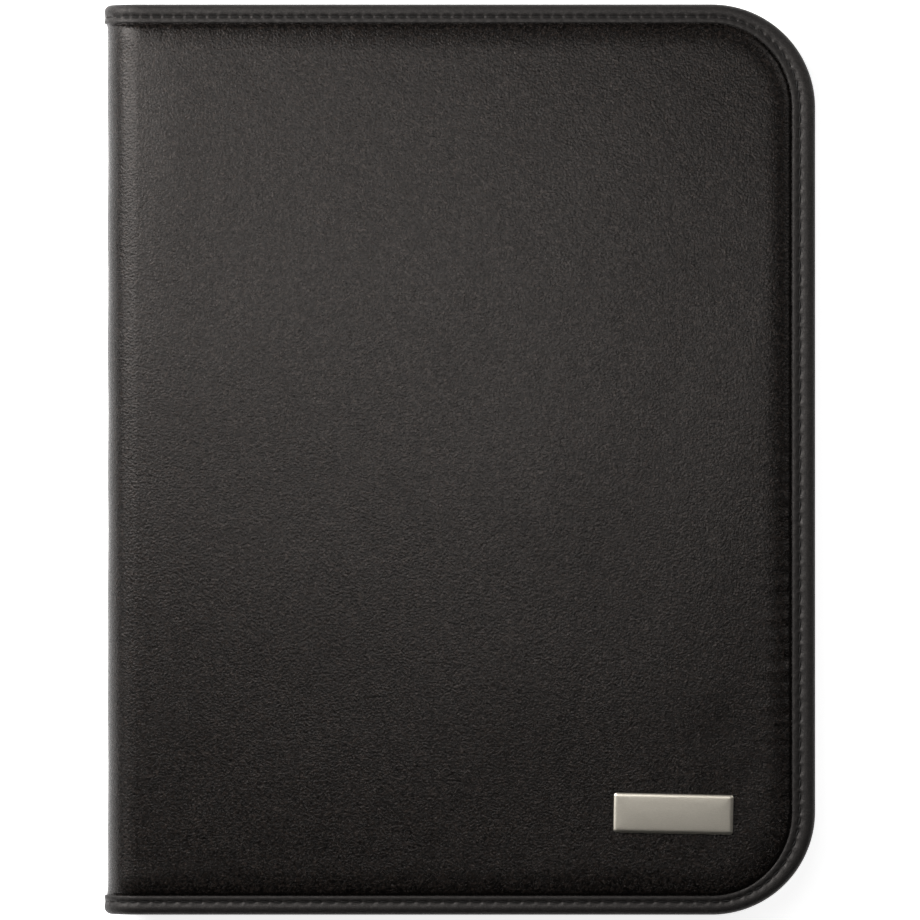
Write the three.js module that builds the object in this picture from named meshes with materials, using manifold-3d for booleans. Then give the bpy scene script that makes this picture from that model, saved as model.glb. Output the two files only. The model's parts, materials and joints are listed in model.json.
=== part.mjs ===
// Zippered document folder, closed and lying flat like a book.
// The spine is at -X, the opening edge at +X, the head of the pages at +Y and the front
// cover on top. Millimetres, +Z up, with the origin under the middle of the folder.

import * as THREE from 'three';
import { mergeGeometries, mergeVertices } from 'three/addons/utils/BufferGeometryUtils.js';
import Module from 'manifold-3d';

const wasm = await Module();
wasm.setup();

// The folder is made round a writing pad of A4 paper, with a margin on each side of it
const PAD_WIDTH = 210;
const PAD_HEIGHT = 297;
const SPINE_MARGIN = 36;
const SIDE_MARGIN = 22;
const END_MARGIN = 23;

// Closed folder
const WIDTH = SPINE_MARGIN + PAD_WIDTH + SIDE_MARGIN;
const HEIGHT = PAD_HEIGHT + 2 * END_MARGIN;
const THICKNESS = 28;
const CORNER_RADIUS = 39;
const CORNER_STEPS = 8;

// Thickness of each layer of a cover, from the outer face inwards
const FABRIC = 0.8;
const FOAM = 2.5;
const BOARD = 2;
const LINING = 0.5;
const TAPE = 0.6;
const BINDING = 0.8;
const LAYER_GAP = 0.1;

// Padded edge: the fabric drops from the crown to a flat seam under the binding
const BINDING_WIDTH = 7.4;
const BINDING_ROUND = 2.2;
const SEAM_CLEARANCE = 0.2;
const SHOULDER_WIDTH = 10;
const SHOULDER_STEPS = [0, 0.1, 0.3, 0.6, 1];

// Soft spine, as strips that fold on each other: degrees that each strip goes round it.
// The first goes with the back cover and the last with the front cover.
const STRIP_TURNS = [30, 60, 60, 30];
const STEP_TURN = 10;
const SPINE_WAIST = 1.5;
const FOLD_GAP = 0.3;
const SPINE_LINING_CLEARANCE = 0.3;

// Zipper: the tape stands up inside the binding and the two chains meet at mid height
const TAPE_CLEARANCE = 0.4;
const ZIPPER_START = 6;
const BEAD_WIDTH = 2.4;
const BEAD_HEIGHT = 1.3;
const BEAD_FROM_MIDDLE = 1.3;
const BEAD_GAP = 0.15;
const TOOTH_PITCH = 4;
const TOOTH_BASE = 1.7;
const TOOTH_TIP = 1.3;
const TOOTH_WIDTH = 2.2;
const TOOTH_REACH = 0.9;
const TOOTH_ROOT = 0.4;

// Stops at the two ends of the zipper
const STOP_LENGTH = 2.6;
const STOP_WALL = 0.6;
const STOP_FROM_END = 1.5;

// Slider and its puller
const SLIDER_LENGTH = 14.5;
const SLIDER_PLATE = 1.2;
const SLIDER_FLANGE = 0.9;
const SLIDER_FLARE = 1.4;
const SLIDER_CLEARANCE = 0.3;
const SLIDER_STOP_GAP = 0.75;
const POST_LENGTH = 3.2;
const POST_CLEARANCE = 0.3;
const ARCH_SPAN = 8;
const ARCH_WIDTH = 2.4;
const ARCH_WALL = 0.9;
const PULLER_LENGTH = 28;
const PULLER_WIDTH = 7;
const PULLER_THICKNESS = 1.2;
const PULLER_CLEARANCE = 0.3;

// Writing pad and its sleeve on the inside of the back cover
const PAD_PAPER = 6;
const PAD_BACKING = 1;
const HEAD_TAPE_WIDTH = 14;
const HEAD_TAPE = 0.4;
const SLEEVE = 0.5;
const SLEEVE_RIM = 1.2;
const SLEEVE_CLEARANCE = 0.4;
const SLEEVE_HEIGHT = 128;

// Elastic pen loop beside the spine
const PEN_LOOP_BORE = 10.5;
const PEN_LOOP_WALL = 1;
const PEN_LOOP_LENGTH = 22;
const PEN_LOOP_CLEARANCE = 1.75;
const PEN_LOOP_TAB = 12;

// Pockets on the inside of the front cover
const POCKET = 0.6;
const POCKET_LEFT = 18;
const POCKET_RIGHT = 22;
const POCKET_FOOT = 20;
const POCKET_FROM_HEAD = 105;
const CARD_POCKET = 0.4;
const CARD_WIDTH = 96;
const CARD_HEIGHT = 66;
const CARD_STEP = 22;
const CARD_FROM_FOOT = 118;
const CARD_MARGIN = 8;
const WINDOW_WIDTH = 76;
const WINDOW_HEIGHT = 100;
const WINDOW_SHEET = 0.4;

// Metal plate near the lower right corner of the front cover
const PLATE_LENGTH = 45;
const PLATE_HEIGHT = 15;
const PLATE_THICKNESS = 1;
const PLATE_BEVEL = 0.35;
const PLATE_CORNER = 0.8;
const PLATE_FROM_SIDE = 53.5;
const PLATE_FROM_FOOT = 38.2;
const PLATE_TURN = -1.2;

// Places worked out from the sizes above
const MIDDLE = THICKNESS / 2;
const FOLD_X = MIDDLE - WIDTH / 2;
const COVER_X = FOLD_X + FOLD_GAP / 2;
const depth = stackLayers([
  ['fabric', FABRIC],
  ['foam', FOAM],
  ['board', BOARD],
  ['lining', LINING],
  ['tape', TAPE],
  ['binding', BINDING],
]);
const SEAM_DEPTH = depth.foam.inner - FABRIC;
const BINDING_DEPTH = SEAM_DEPTH - LAYER_GAP - BINDING;
const BINDING_HEIGHT = depth.binding.inner - BINDING_DEPTH;
const EDGE_INSET = BINDING_ROUND + SEAM_CLEARANCE;
const SEAM_INSET = BINDING_WIDTH + SEAM_CLEARANCE;
const TAPE_INSET = BINDING_WIDTH + TAPE_CLEARANCE;
const CHAIN_INSET = TAPE_INSET + TAPE / 2;
const ZIPPER_X = FOLD_X + ZIPPER_START;
const BEAD_TOP = MIDDLE - BEAD_FROM_MIDDLE;
const BEAD_FOOT = BEAD_TOP - BEAD_HEIGHT;
const CHAIN_Y = HEIGHT / 2 - CHAIN_INSET;
const STOP_X = ZIPPER_X + STOP_FROM_END;
const SLIDER_X = STOP_X + STOP_LENGTH + SLIDER_STOP_GAP + SLIDER_LENGTH / 2;
const INSIDE = depth.lining.inner + LAYER_GAP;

const finishes = {
  fabric: { color: 0x2a2726, roughness: 0.72, metalness: 0 },
  foam: { color: 0x55565a, roughness: 0.95, metalness: 0 },
  board: { color: 0x8d7a5c, roughness: 0.9, metalness: 0 },
  lining: { color: 0x1d1d1f, roughness: 0.85, metalness: 0 },
  binding: { color: 0x191818, roughness: 0.6, metalness: 0 },
  tape: { color: 0x141415, roughness: 0.85, metalness: 0 },
  chain: { color: 0x1b1b1c, roughness: 0.4, metalness: 0 },
  metal: { color: 0xa9a49a, roughness: 0.35, metalness: 1 },
  paper: { color: 0xf2efe6, roughness: 0.9, metalness: 0 },
  elastic: { color: 0x1a1a1b, roughness: 0.9, metalness: 0 },
  window: { color: 0xdfe6ea, roughness: 0.15, metalness: 0 },
};

// Outer and inner depth of layers that lie on each other with a small gap
function stackLayers(layers) {
  const faces = {};
  let outer = 0;
  for (const [name, thickness] of layers) {
    faces[name] = { outer, inner: outer + thickness };
    outer += thickness + LAYER_GAP;
  }
  return faces;
}

// A closed geometry from corner points and triangles, turned so that its faces point out
function solid(points, triangles) {
  const normal = new THREE.Vector3();
  let volume = 0;
  for (const [a, b, c] of triangles) {
    volume += points[a].dot(normal.crossVectors(points[b], points[c]));
  }
  const faces = volume > 0 ? triangles : triangles.map(([a, b, c]) => [a, c, b]);
  const geometry = new THREE.BufferGeometry();
  const places = points.flatMap((point) => [point.x, point.y, point.z]);
  geometry.setAttribute('position', new THREE.Float32BufferAttribute(places, 3));
  geometry.setIndex(faces.flat());
  return geometry;
}

// Triangles that fill a flat outline, wound the way the outline runs
function fillOutline(outline) {
  const way = Math.sign(THREE.ShapeUtils.area(outline));
  return THREE.ShapeUtils.triangulateShape(outline, []).map(([a, b, c]) => {
    const first = outline[b].clone().sub(outline[a]);
    const second = outline[c].clone().sub(outline[a]);
    return first.cross(second) * way > 0 ? [a, b, c] : [a, c, b];
  });
}

// A solid through a row of loops with the same number of points, closed at both ends
function sweep(loops, outline) {
  const count = outline.length;
  const triangles = [];
  for (let row = 0; row < loops.length - 1; row += 1) {
    for (let at = 0; at < count; at += 1) {
      const a = row * count + at;
      const b = row * count + (at + 1) % count;
      triangles.push([a, b, b + count], [a, b + count, a + count]);
    }
  }
  const last = (loops.length - 1) * count;
  for (const [a, b, c] of fillOutline(outline)) {
    triangles.push([a, c, b], [last + a, last + b, last + c]);
  }
  return solid(loops.flat(), triangles);
}

// The three free edges of a cover at an inset, from the foot of the fold round to its head
function edgePath(inset, startX) {
  const radius = CORNER_RADIUS - inset;
  const centreX = WIDTH / 2 - CORNER_RADIUS;
  const centreY = HEIGHT / 2 - CORNER_RADIUS;
  const points = [new THREE.Vector2(startX, inset - HEIGHT / 2)];
  for (const side of [-1, 1]) {
    const from = side < 0 ? -Math.PI / 2 : 0;
    for (let step = 0; step <= CORNER_STEPS; step += 1) {
      const angle = from + (step / CORNER_STEPS) * Math.PI / 2;
      const x = centreX + radius * Math.cos(angle);
      const y = side * centreY + radius * Math.sin(angle);
      points.push(new THREE.Vector2(x, y));
    }
  }
  points.push(new THREE.Vector2(startX, HEIGHT / 2 - inset));
  return points;
}

// A strip with a closed profile of [inset, z] points, run round the three free edges
function edgeStrip(profile, startX) {
  const outline = profile.map(([inset, z]) => new THREE.Vector2(inset, z));
  const lines = profile.map(([inset, z]) => (
    edgePath(inset, startX).map((point) => new THREE.Vector3(point.x, point.y, z))
  ));
  const loops = lines[0].map((start, at) => lines.map((line) => line[at]));
  return sweep(loops, outline);
}

// A sheet over the whole cover, with levels of { inset, low, high } from its rim inwards
function coverSheet(levels) {
  const rims = levels.map((level) => edgePath(level.inset, COVER_X));
  const count = rims[0].length;
  const points = [];
  for (const face of ['low', 'high']) {
    levels.forEach((level, row) => {
      rims[row].forEach((rim) => points.push(new THREE.Vector3(rim.x, rim.y, level[face])));
    });
  }
  const rows = levels.length;
  const low = (row, at) => row * count + at;
  const high = (row, at) => (rows + row) * count + at;
  const triangles = [];
  const quad = (a, b, c, d) => triangles.push([a, b, c], [a, c, d]);
  const end = count - 1;
  for (let at = 0; at < end; at += 1) {
    quad(low(0, at), low(0, at + 1), high(0, at + 1), high(0, at));
    for (let row = 0; row < rows - 1; row += 1) {
      quad(high(row, at), high(row, at + 1), high(row + 1, at + 1), high(row + 1, at));
      quad(low(row + 1, at), low(row + 1, at + 1), low(row, at + 1), low(row, at));
    }
  }
  for (let row = 0; row < rows - 1; row += 1) {
    quad(low(row, 0), high(row, 0), high(row + 1, 0), low(row + 1, 0));
    quad(low(row + 1, end), high(row + 1, end), high(row, end), low(row, end));
  }
  const inner = rows - 1;
  quad(low(inner, 0), high(inner, 0), high(inner, end), low(inner, end));
  for (const [a, b, c] of fillOutline(rims[inner])) {
    triangles.push([high(inner, a), high(inner, b), high(inner, c)]);
    triangles.push([low(inner, a), low(inner, c), low(inner, b)]);
  }
  return solid(points, triangles);
}

// The same piece on the other cover, mirrored about the folder's mid height
function mirrored(geometry) {
  const copy = geometry.clone();
  copy.scale(1, 1, -1);
  copy.translate(0, 0, THICKNESS);
  const index = copy.getIndex();
  for (let at = 0; at < index.count; at += 3) {
    const second = index.getX(at + 1);
    index.setX(at + 1, index.getX(at + 2));
    index.setX(at + 2, second);
  }
  return copy;
}

// A box from its two opposite corners
function box(low, high) {
  const size = high.map((value, at) => value - low[at]);
  const geometry = new THREE.BoxGeometry(...size);
  geometry.translate(...high.map((value, at) => (value + low[at]) / 2));
  return geometry;
}

function toManifold(geometry) {
  const bare = geometry.clone();
  bare.deleteAttribute('normal');
  bare.deleteAttribute('uv');
  const merged = mergeVertices(bare);
  const vertProperties = new Float32Array(merged.getAttribute('position').array);
  const triVerts = new Uint32Array(merged.getIndex().array);
  return new wasm.Manifold(new wasm.Mesh({ numProp: 3, vertProperties, triVerts }));
}

function fromManifold(body) {
  const mesh = body.getMesh();
  const geometry = new THREE.BufferGeometry();
  geometry.setAttribute('position', new THREE.BufferAttribute(mesh.vertProperties, 3));
  geometry.setIndex(new THREE.BufferAttribute(mesh.triVerts, 1));
  return geometry;
}

function join(first, ...others) {
  return fromManifold(others.reduce((body, next) => body.add(toManifold(next)), toManifold(first)));
}

function cut(first, ...others) {
  const whole = toManifold(first);
  return fromManifold(others.reduce((body, next) => body.subtract(toManifold(next)), whole));
}

// A flat shape pushed up by a height from a level
function raised(shape, level, height) {
  const geometry = new THREE.ExtrudeGeometry(shape, { depth: height, bevelEnabled: false });
  geometry.translate(0, 0, level);
  return geometry;
}

function shapeFrom(points) {
  return new THREE.Shape(points.map(([x, y]) => new THREE.Vector2(x, y)));
}

function roundedRectangle(left, foot, right, head, radius) {
  const shape = new THREE.Shape();
  shape.moveTo(left + radius, foot);
  shape.lineTo(right - radius, foot);
  shape.absarc(right - radius, foot + radius, radius, -Math.PI / 2, 0, false);
  shape.absarc(right - radius, head - radius, radius, 0, Math.PI / 2, false);
  shape.absarc(left + radius, head - radius, radius, Math.PI / 2, Math.PI, false);
  shape.absarc(left + radius, foot + radius, radius, Math.PI, 1.5 * Math.PI, false);
  return shape;
}

// How far the padded shoulder has risen, from 0 at the seam to 1 at the crown
function shoulderRise(share) {
  return Math.sqrt(1 - (1 - share) ** 2);
}

// Covers: fabric, foam, board and lining

function coverFabric() {
  const flat = { low: SEAM_DEPTH, high: SEAM_DEPTH + FABRIC };
  const shoulder = SHOULDER_STEPS.map((share) => {
    const low = SEAM_DEPTH * (1 - shoulderRise(share));
    return { inset: SEAM_INSET + share * SHOULDER_WIDTH, low, high: low + FABRIC };
  });
  return coverSheet([{ inset: EDGE_INSET, ...flat }, ...shoulder]);
}

function coverFoam() {
  const steps = SHOULDER_STEPS.filter((share) => share > 0);
  return coverSheet(steps.map((share) => ({
    inset: SEAM_INSET + share * SHOULDER_WIDTH,
    low: SEAM_DEPTH * (1 - shoulderRise(share)) + FABRIC + LAYER_GAP,
    high: depth.foam.inner,
  })));
}

function coverLayer(name) {
  return coverSheet([{ inset: EDGE_INSET, low: depth[name].outer, high: depth[name].inner }]);
}

// U-shaped profile of the binding: inset from the edge and depth from its outer leg
function bindingProfile() {
  const outer = BINDING_ROUND;
  const inner = BINDING_ROUND - BINDING;
  const halfTurn = Math.SQRT1_2;
  const nearSide = [
    [BINDING_WIDTH, 0],
    [outer, 0],
    [outer * (1 - halfTurn), outer * (1 - halfTurn)],
    [0, outer],
  ];
  const nearInside = [
    [BINDING, outer],
    [outer - inner * halfTurn, outer - inner * halfTurn],
    [outer, BINDING],
    [BINDING_WIDTH, BINDING],
  ];
  const across = ([inset, level]) => [inset, BINDING_HEIGHT - level];
  const farSide = nearSide.map(across).reverse();
  const farInside = nearInside.map(across).reverse();
  return [...nearSide, ...farSide, ...farInside, ...nearInside];
}

function coverBinding() {
  return edgeStrip(bindingProfile().map(([inset, level]) => [inset, BINDING_DEPTH + level]), COVER_X);
}

// Spine: oval layers round the fold, cut into strips by planes through the hinge lines

function stripStations(strip) {
  const turn = STRIP_TURNS[strip - 1];
  const start = STRIP_TURNS.slice(0, strip - 1).reduce((sum, value) => sum + value, 90);
  const steps = Math.round(turn / STEP_TURN);
  const stations = [];
  for (let step = 0; step <= steps; step += 1) {
    const angle = -THREE.MathUtils.degToRad(start + turn * step / steps);
    const side = step === 0 ? -1 : Number(step === steps);
    stations.push({ angle, shift: side * FOLD_GAP / 2 });
  }
  return stations;
}

function spinePoint({ angle, shift }, [across, up], y) {
  const radius = 1 / Math.hypot(Math.cos(angle) / across, Math.sin(angle) / up);
  const x = FOLD_X + radius * Math.cos(angle) - shift * Math.sin(angle);
  const z = MIDDLE + radius * Math.sin(angle) + shift * Math.cos(angle);
  return new THREE.Vector3(x, y, z);
}

// Half width and half height of the spine's oval at a depth below its waisted fabric
function waisted(level) {
  return [MIDDLE - SPINE_WAIST - level, MIDDLE - level];
}

// One layer of one strip, through sections of { y, outer, inner } along the spine
function spineLayer(strip, sections) {
  const there = stripStations(strip);
  const back = [...there].reverse();
  const loops = sections.map(({ y, outer, inner }) => [
    ...there.map((station) => spinePoint(station, outer, y)),
    ...back.map((station) => spinePoint(station, inner, y)),
  ]);
  return sweep(loops, loops[0].map((point) => new THREE.Vector2(point.x, point.z)));
}

// Sections from the foot of the spine to its head, given those of one end
function bothEnds(sections) {
  const foot = sections.map(({ inset, ...ovals }) => ({ y: inset - HEIGHT / 2, ...ovals }));
  const head = foot.map(({ y, ...ovals }) => ({ y: -y, ...ovals })).reverse();
  return [...foot, ...head];
}

function between(from, to, share) {
  return from.map((value, at) => value + (to[at] - value) * share);
}

function spineFabric(strip) {
  const seamOuter = [MIDDLE - BINDING - LAYER_GAP, MIDDLE - SEAM_DEPTH];
  const seamInner = seamOuter.map((value) => value - FABRIC);
  const shoulder = SHOULDER_STEPS.map((share) => ({
    inset: SEAM_INSET + share * SHOULDER_WIDTH,
    outer: between(seamOuter, waisted(0), shoulderRise(share)),
    inner: between(seamInner, waisted(FABRIC), shoulderRise(share)),
  }));
  const flat = { inset: EDGE_INSET, outer: seamOuter, inner: seamInner };
  return spineLayer(strip, bothEnds([flat, ...shoulder]));
}

function spineFoam(strip) {
  const section = {
    inset: SEAM_INSET + SHOULDER_WIDTH,
    outer: waisted(depth.foam.outer),
    inner: waisted(depth.board.inner),
  };
  return spineLayer(strip, bothEnds([section]));
}

function spineLining(strip) {
  const bindingFace = MIDDLE - BINDING_HEIGHT + BINDING;
  const innerEnd = [bindingFace + SPINE_LINING_CLEARANCE, MIDDLE - depth.lining.inner];
  const outerEnd = innerEnd.map((value) => value + LINING);
  const main = {
    inset: SEAM_INSET + SHOULDER_WIDTH,
    outer: waisted(depth.lining.outer),
    inner: waisted(depth.lining.inner),
  };
  const seam = { inset: SEAM_INSET, outer: outerEnd, inner: innerEnd };
  return spineLayer(strip, bothEnds([{ ...seam, inset: EDGE_INSET }, seam, main]));
}

// The binding goes on round the end of the spine, at side -1 (foot) or 1 (head)
function spineBinding(strip, side) {
  const profile = bindingProfile();
  const reach = [MIDDLE, MIDDLE - BINDING_DEPTH];
  const loops = stripStations(strip).map((station) => profile.map(([inset, level]) => (
    spinePoint(station, reach.map((value) => value - level), side * (HEIGHT / 2 - inset))
  )));
  return sweep(loops, profile.map(([inset, level]) => new THREE.Vector2(inset, level)));
}

// Zipper tape: a leg sewn under the binding and a leg that stands up to the chain
function zipperTape() {
  const inside = TAPE_INSET + TAPE;
  const foot = depth.tape.outer;
  return edgeStrip([
    [EDGE_INSET, foot],
    [inside, foot],
    [inside, BEAD_FOOT - BEAD_GAP],
    [TAPE_INSET, BEAD_FOOT - BEAD_GAP],
    [TAPE_INSET, foot + TAPE],
    [EDGE_INSET, foot + TAPE],
  ], ZIPPER_X);
}

// Place and heading on a path at a distance from its start
function alongPath(path, distance) {
  let left = distance;
  for (let at = 0; at < path.length - 1; at += 1) {
    const step = path[at + 1].clone().sub(path[at]);
    const length = step.length();
    if (left <= length) {
      const heading = Math.atan2(step.y, step.x);
      return { place: path[at].clone().addScaledVector(step, left / length), heading };
    }
    left -= length;
  }
  throw new Error('the distance runs past the end of the path');
}

function pathLength(path) {
  return path.slice(1).reduce((sum, point, at) => sum + point.distanceTo(path[at]), 0);
}

// One tooth, narrower at its tip, standing on the bead and reaching past mid height
function tooth({ place, heading }) {
  const foot = BEAD_TOP - TOOTH_ROOT;
  const tip = MIDDLE + TOOTH_REACH;
  const geometry = box(
    [-TOOTH_BASE / 2, -TOOTH_WIDTH / 2, foot],
    [TOOTH_BASE / 2, TOOTH_WIDTH / 2, tip],
  );
  const position = geometry.getAttribute('position');
  for (let at = 0; at < position.count; at += 1) {
    if (position.getZ(at) > BEAD_TOP) {
      position.setX(at, position.getX(at) * TOOTH_TIP / TOOTH_BASE);
    }
  }
  geometry.rotateZ(heading);
  geometry.translate(place.x, place.y, 0);
  return geometry;
}

// One half of the chain: a bead on the tape's edge with its teeth, set off by a share of a pitch
function zipperChain(share) {
  const side = BEAD_WIDTH / 2;
  const bead = edgeStrip([
    [CHAIN_INSET - side, BEAD_FOOT],
    [CHAIN_INSET + side, BEAD_FOOT],
    [CHAIN_INSET + side, BEAD_TOP],
    [CHAIN_INSET - side, BEAD_TOP],
  ], ZIPPER_X);
  const path = edgePath(CHAIN_INSET, ZIPPER_X);
  const postEnd = POST_X + POST_LENGTH / 2 + POST_CLEARANCE;
  const from = SLIDER_X + postEnd - ZIPPER_X + TOOTH_BASE / 2;
  const stopEnd = STOP_FROM_END + STOP_LENGTH + TOOTH_PITCH / 2;
  const to = pathLength(path) - stopEnd;
  const teeth = [];
  for (let at = from + share * TOOTH_PITCH; at < to; at += TOOTH_PITCH) {
    teeth.push(tooth(alongPath(path, at)));
  }
  return join(bead, mergeGeometries(teeth));
}

// A clip over one bead that the slider meets when the folder is shut
function topStop() {
  const channel = BEAD_WIDTH / 2 + BEAD_GAP;
  const wall = channel + STOP_WALL;
  const roof = BEAD_TOP + BEAD_GAP;
  const clip = box(
    [STOP_X, -CHAIN_Y - wall, BEAD_FOOT],
    [STOP_X + STOP_LENGTH, -CHAIN_Y + wall, roof + STOP_WALL],
  );
  const slot = box(
    [STOP_X - 1, -CHAIN_Y - channel, BEAD_FOOT - 1],
    [STOP_X + STOP_LENGTH + 1, -CHAIN_Y + channel, roof],
  );
  return cut(clip, slot);
}

// A clip that ties both beads together at the far end, with a bar between them
function bottomStop() {
  const channel = BEAD_WIDTH / 2 + BEAD_GAP;
  const reach = BEAD_FROM_MIDDLE + BEAD_HEIGHT;
  const bar = BEAD_FROM_MIDDLE - BEAD_GAP;
  const end = STOP_X + STOP_LENGTH;
  const cheek = (side) => box(
    [STOP_X, CHAIN_Y + side - STOP_WALL / 2, MIDDLE - reach],
    [end, CHAIN_Y + side + STOP_WALL / 2, MIDDLE + reach],
  );
  const bridge = box(
    [STOP_X, CHAIN_Y - channel - STOP_WALL / 2, MIDDLE - bar],
    [end, CHAIN_Y + channel + STOP_WALL / 2, MIDDLE + bar],
  );
  const offset = channel + STOP_WALL / 2;
  return join(bridge, cheek(offset), cheek(-offset));
}

// Slider, in its own frame: X along the chain, Y across it and Z out of the folder.
// Its wide end with the post is at -X, where the two halves of the chain part.

const SLIDER_CHANNEL = BEAD_WIDTH / 2 + SLIDER_CLEARANCE;
const SLIDER_NARROW = BEAD_FROM_MIDDLE + BEAD_HEIGHT + SLIDER_CLEARANCE + SLIDER_FLANGE;
const SLIDER_WIDE = SLIDER_NARROW + SLIDER_FLARE;
const SLIDER_FACE = SLIDER_CHANNEL + SLIDER_PLATE;
const POST_X = -0.25 * SLIDER_LENGTH;
const OVERLAP = 0.2;

// Half outline of the slider's side, from its narrow end to its wide end
function sliderSide(inset) {
  const half = SLIDER_LENGTH / 2;
  return [
    [half - SLIDER_FLANGE, SLIDER_NARROW - inset],
    [half / 8, SLIDER_NARROW - inset],
    [-half / 2, SLIDER_WIDE - inset],
    [-half + SLIDER_FLANGE, SLIDER_WIDE - inset],
  ];
}

function sliderPlate(level) {
  const half = SLIDER_LENGTH / 2;
  const side = [
    [half, SLIDER_NARROW - SLIDER_FLANGE],
    ...sliderSide(0),
    [-half, SLIDER_WIDE - SLIDER_FLANGE],
    [-half + SLIDER_FLANGE, 0],
  ];
  const other = side.slice(0, -1).map(([x, y]) => [x, -y]).reverse();
  return raised(shapeFrom([...side, ...other]), level, SLIDER_PLATE);
}

function sliderFlange(side, level) {
  const outline = [...sliderSide(0), ...sliderSide(SLIDER_FLANGE).reverse()];
  const height = SLIDER_CHANNEL - TAPE / 2 - SLIDER_CLEARANCE + OVERLAP;
  return raised(shapeFrom(outline.map(([x, y]) => [x, side * y])), level, height);
}

// The arch on the outer plate that carries the puller, as a bent strip along the chain
function sliderArch() {
  const foot = SLIDER_FACE - OVERLAP;
  const under = SLIDER_FACE + PULLER_THICKNESS + 2.7 * PULLER_CLEARANCE;
  const top = under + ARCH_WALL;
  const outer = ARCH_SPAN / 2 + ARCH_WALL / 2;
  const inner = outer - ARCH_WALL;
  const bend = ARCH_WALL;
  const half = [
    [outer, foot],
    [outer, top - bend],
    [outer - bend, top],
  ];
  const hollow = [
    [inner - bend / 2, under],
    [inner, under - bend / 2],
    [inner, foot],
  ];
  const flip = (points) => points.map(([x, y]) => [-x, y]).reverse();
  const outline = [...half, ...flip(half), ...flip(hollow), ...hollow];
  const geometry = raised(shapeFrom(outline), -ARCH_WIDTH / 2, ARCH_WIDTH);
  geometry.rotateX(Math.PI / 2);
  return geometry;
}

function sliderBody() {
  const half = POST_LENGTH / 2;
  const thick = BEAD_FROM_MIDDLE - SLIDER_CLEARANCE;
  const post = raised(shapeFrom([
    [POST_X - half, -0.6 * thick],
    [POST_X, -thick],
    [POST_X + half, 0],
    [POST_X, thick],
    [POST_X - half, 0.6 * thick],
  ]), -SLIDER_CHANNEL - OVERLAP, 2 * (SLIDER_CHANNEL + OVERLAP));
  const innerFlange = -SLIDER_CHANNEL - OVERLAP;
  const outerFlange = TAPE / 2 + SLIDER_CLEARANCE;
  return join(
    sliderPlate(SLIDER_CHANNEL),
    sliderPlate(-SLIDER_FACE),
    post,
    sliderFlange(1, innerFlange),
    sliderFlange(-1, innerFlange),
    sliderFlange(1, outerFlange),
    sliderFlange(-1, outerFlange),
    sliderArch(),
  );
}

// The puller lies flat on the slider, with a window that its arch stands through.
// The bar at the window's end is the hinge, under the arch at the middle of the slider.
function puller() {
  const bar = PULLER_THICKNESS / 2;
  const half = PULLER_WIDTH / 2;
  const windowEnd = ARCH_SPAN / 2 + ARCH_WALL + 2 * PULLER_CLEARANCE;
  const windowHalf = ARCH_WIDTH / 2 + PULLER_CLEARANCE;
  const neck = windowEnd + PULLER_WIDTH / 2;
  const tip = PULLER_LENGTH - bar;
  const shape = new THREE.Shape();
  shape.moveTo(-bar, -half + 1);
  shape.lineTo(-bar + 1, -half);
  shape.lineTo(windowEnd, -half);
  shape.lineTo(neck, -0.72 * half);
  shape.lineTo(tip - half, -half);
  shape.absarc(tip - half, 0, half, -Math.PI / 2, Math.PI / 2, false);
  shape.lineTo(neck, 0.72 * half);
  shape.lineTo(windowEnd, half);
  shape.lineTo(-bar + 1, half);
  shape.lineTo(-bar, half - 1);
  shape.holes.push(new THREE.Path([
    new THREE.Vector2(bar, -windowHalf),
    new THREE.Vector2(bar, windowHalf),
    new THREE.Vector2(windowEnd, windowHalf),
    new THREE.Vector2(windowEnd, -windowHalf),
  ]));
  return raised(shape, SLIDER_FACE + PULLER_CLEARANCE, PULLER_THICKNESS);
}

// Inside of the back cover: sleeve, pad and pen loop

const PAD_RIGHT = WIDTH / 2 - SIDE_MARGIN;
const PAD_LEFT = PAD_RIGHT - PAD_WIDTH;
const PAD_HEAD = PAD_HEIGHT / 2;
const SLEEVE_LEVEL = INSIDE + PAD_BACKING + LAYER_GAP;
const PAPER_LEVEL = SLEEVE_LEVEL + SLEEVE + LAYER_GAP;
const PAPER_TOP = PAPER_LEVEL + PAD_PAPER;

function padBackingBoard() {
  return box([PAD_LEFT, -PAD_HEAD, INSIDE], [PAD_RIGHT, PAD_HEAD, INSIDE + PAD_BACKING]);
}

// A sleeve open at its head, sewn down along its other three sides
function padSleeve() {
  const rim = SLEEVE_CLEARANCE + SLEEVE_RIM;
  const head = -PAD_HEAD + SLEEVE_HEIGHT;
  const whole = box(
    [PAD_LEFT - rim, -PAD_HEAD - rim, INSIDE],
    [PAD_RIGHT + rim, head, SLEEVE_LEVEL + SLEEVE],
  );
  const hollow = box(
    [PAD_LEFT - SLEEVE_CLEARANCE, -PAD_HEAD - SLEEVE_CLEARANCE, INSIDE - 1],
    [PAD_RIGHT + SLEEVE_CLEARANCE, head + 1, SLEEVE_LEVEL],
  );
  return cut(whole, hollow);
}

function padPaper() {
  return box([PAD_LEFT, -PAD_HEAD, PAPER_LEVEL], [PAD_RIGHT, PAD_HEAD, PAPER_TOP]);
}

// Tape glued over the head of the pad, down to its backing board
function padHeadTape() {
  const top = PAPER_TOP + LAYER_GAP + HEAD_TAPE;
  const whole = box(
    [PAD_LEFT, PAD_HEAD - HEAD_TAPE_WIDTH, INSIDE],
    [PAD_RIGHT, PAD_HEAD + LAYER_GAP + HEAD_TAPE, top],
  );
  const pad = box(
    [PAD_LEFT - 1, PAD_HEAD - HEAD_TAPE_WIDTH - 1, INSIDE - 1],
    [PAD_RIGHT + 1, PAD_HEAD + LAYER_GAP, PAPER_TOP + LAYER_GAP],
  );
  return cut(whole, pad);
}

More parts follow.
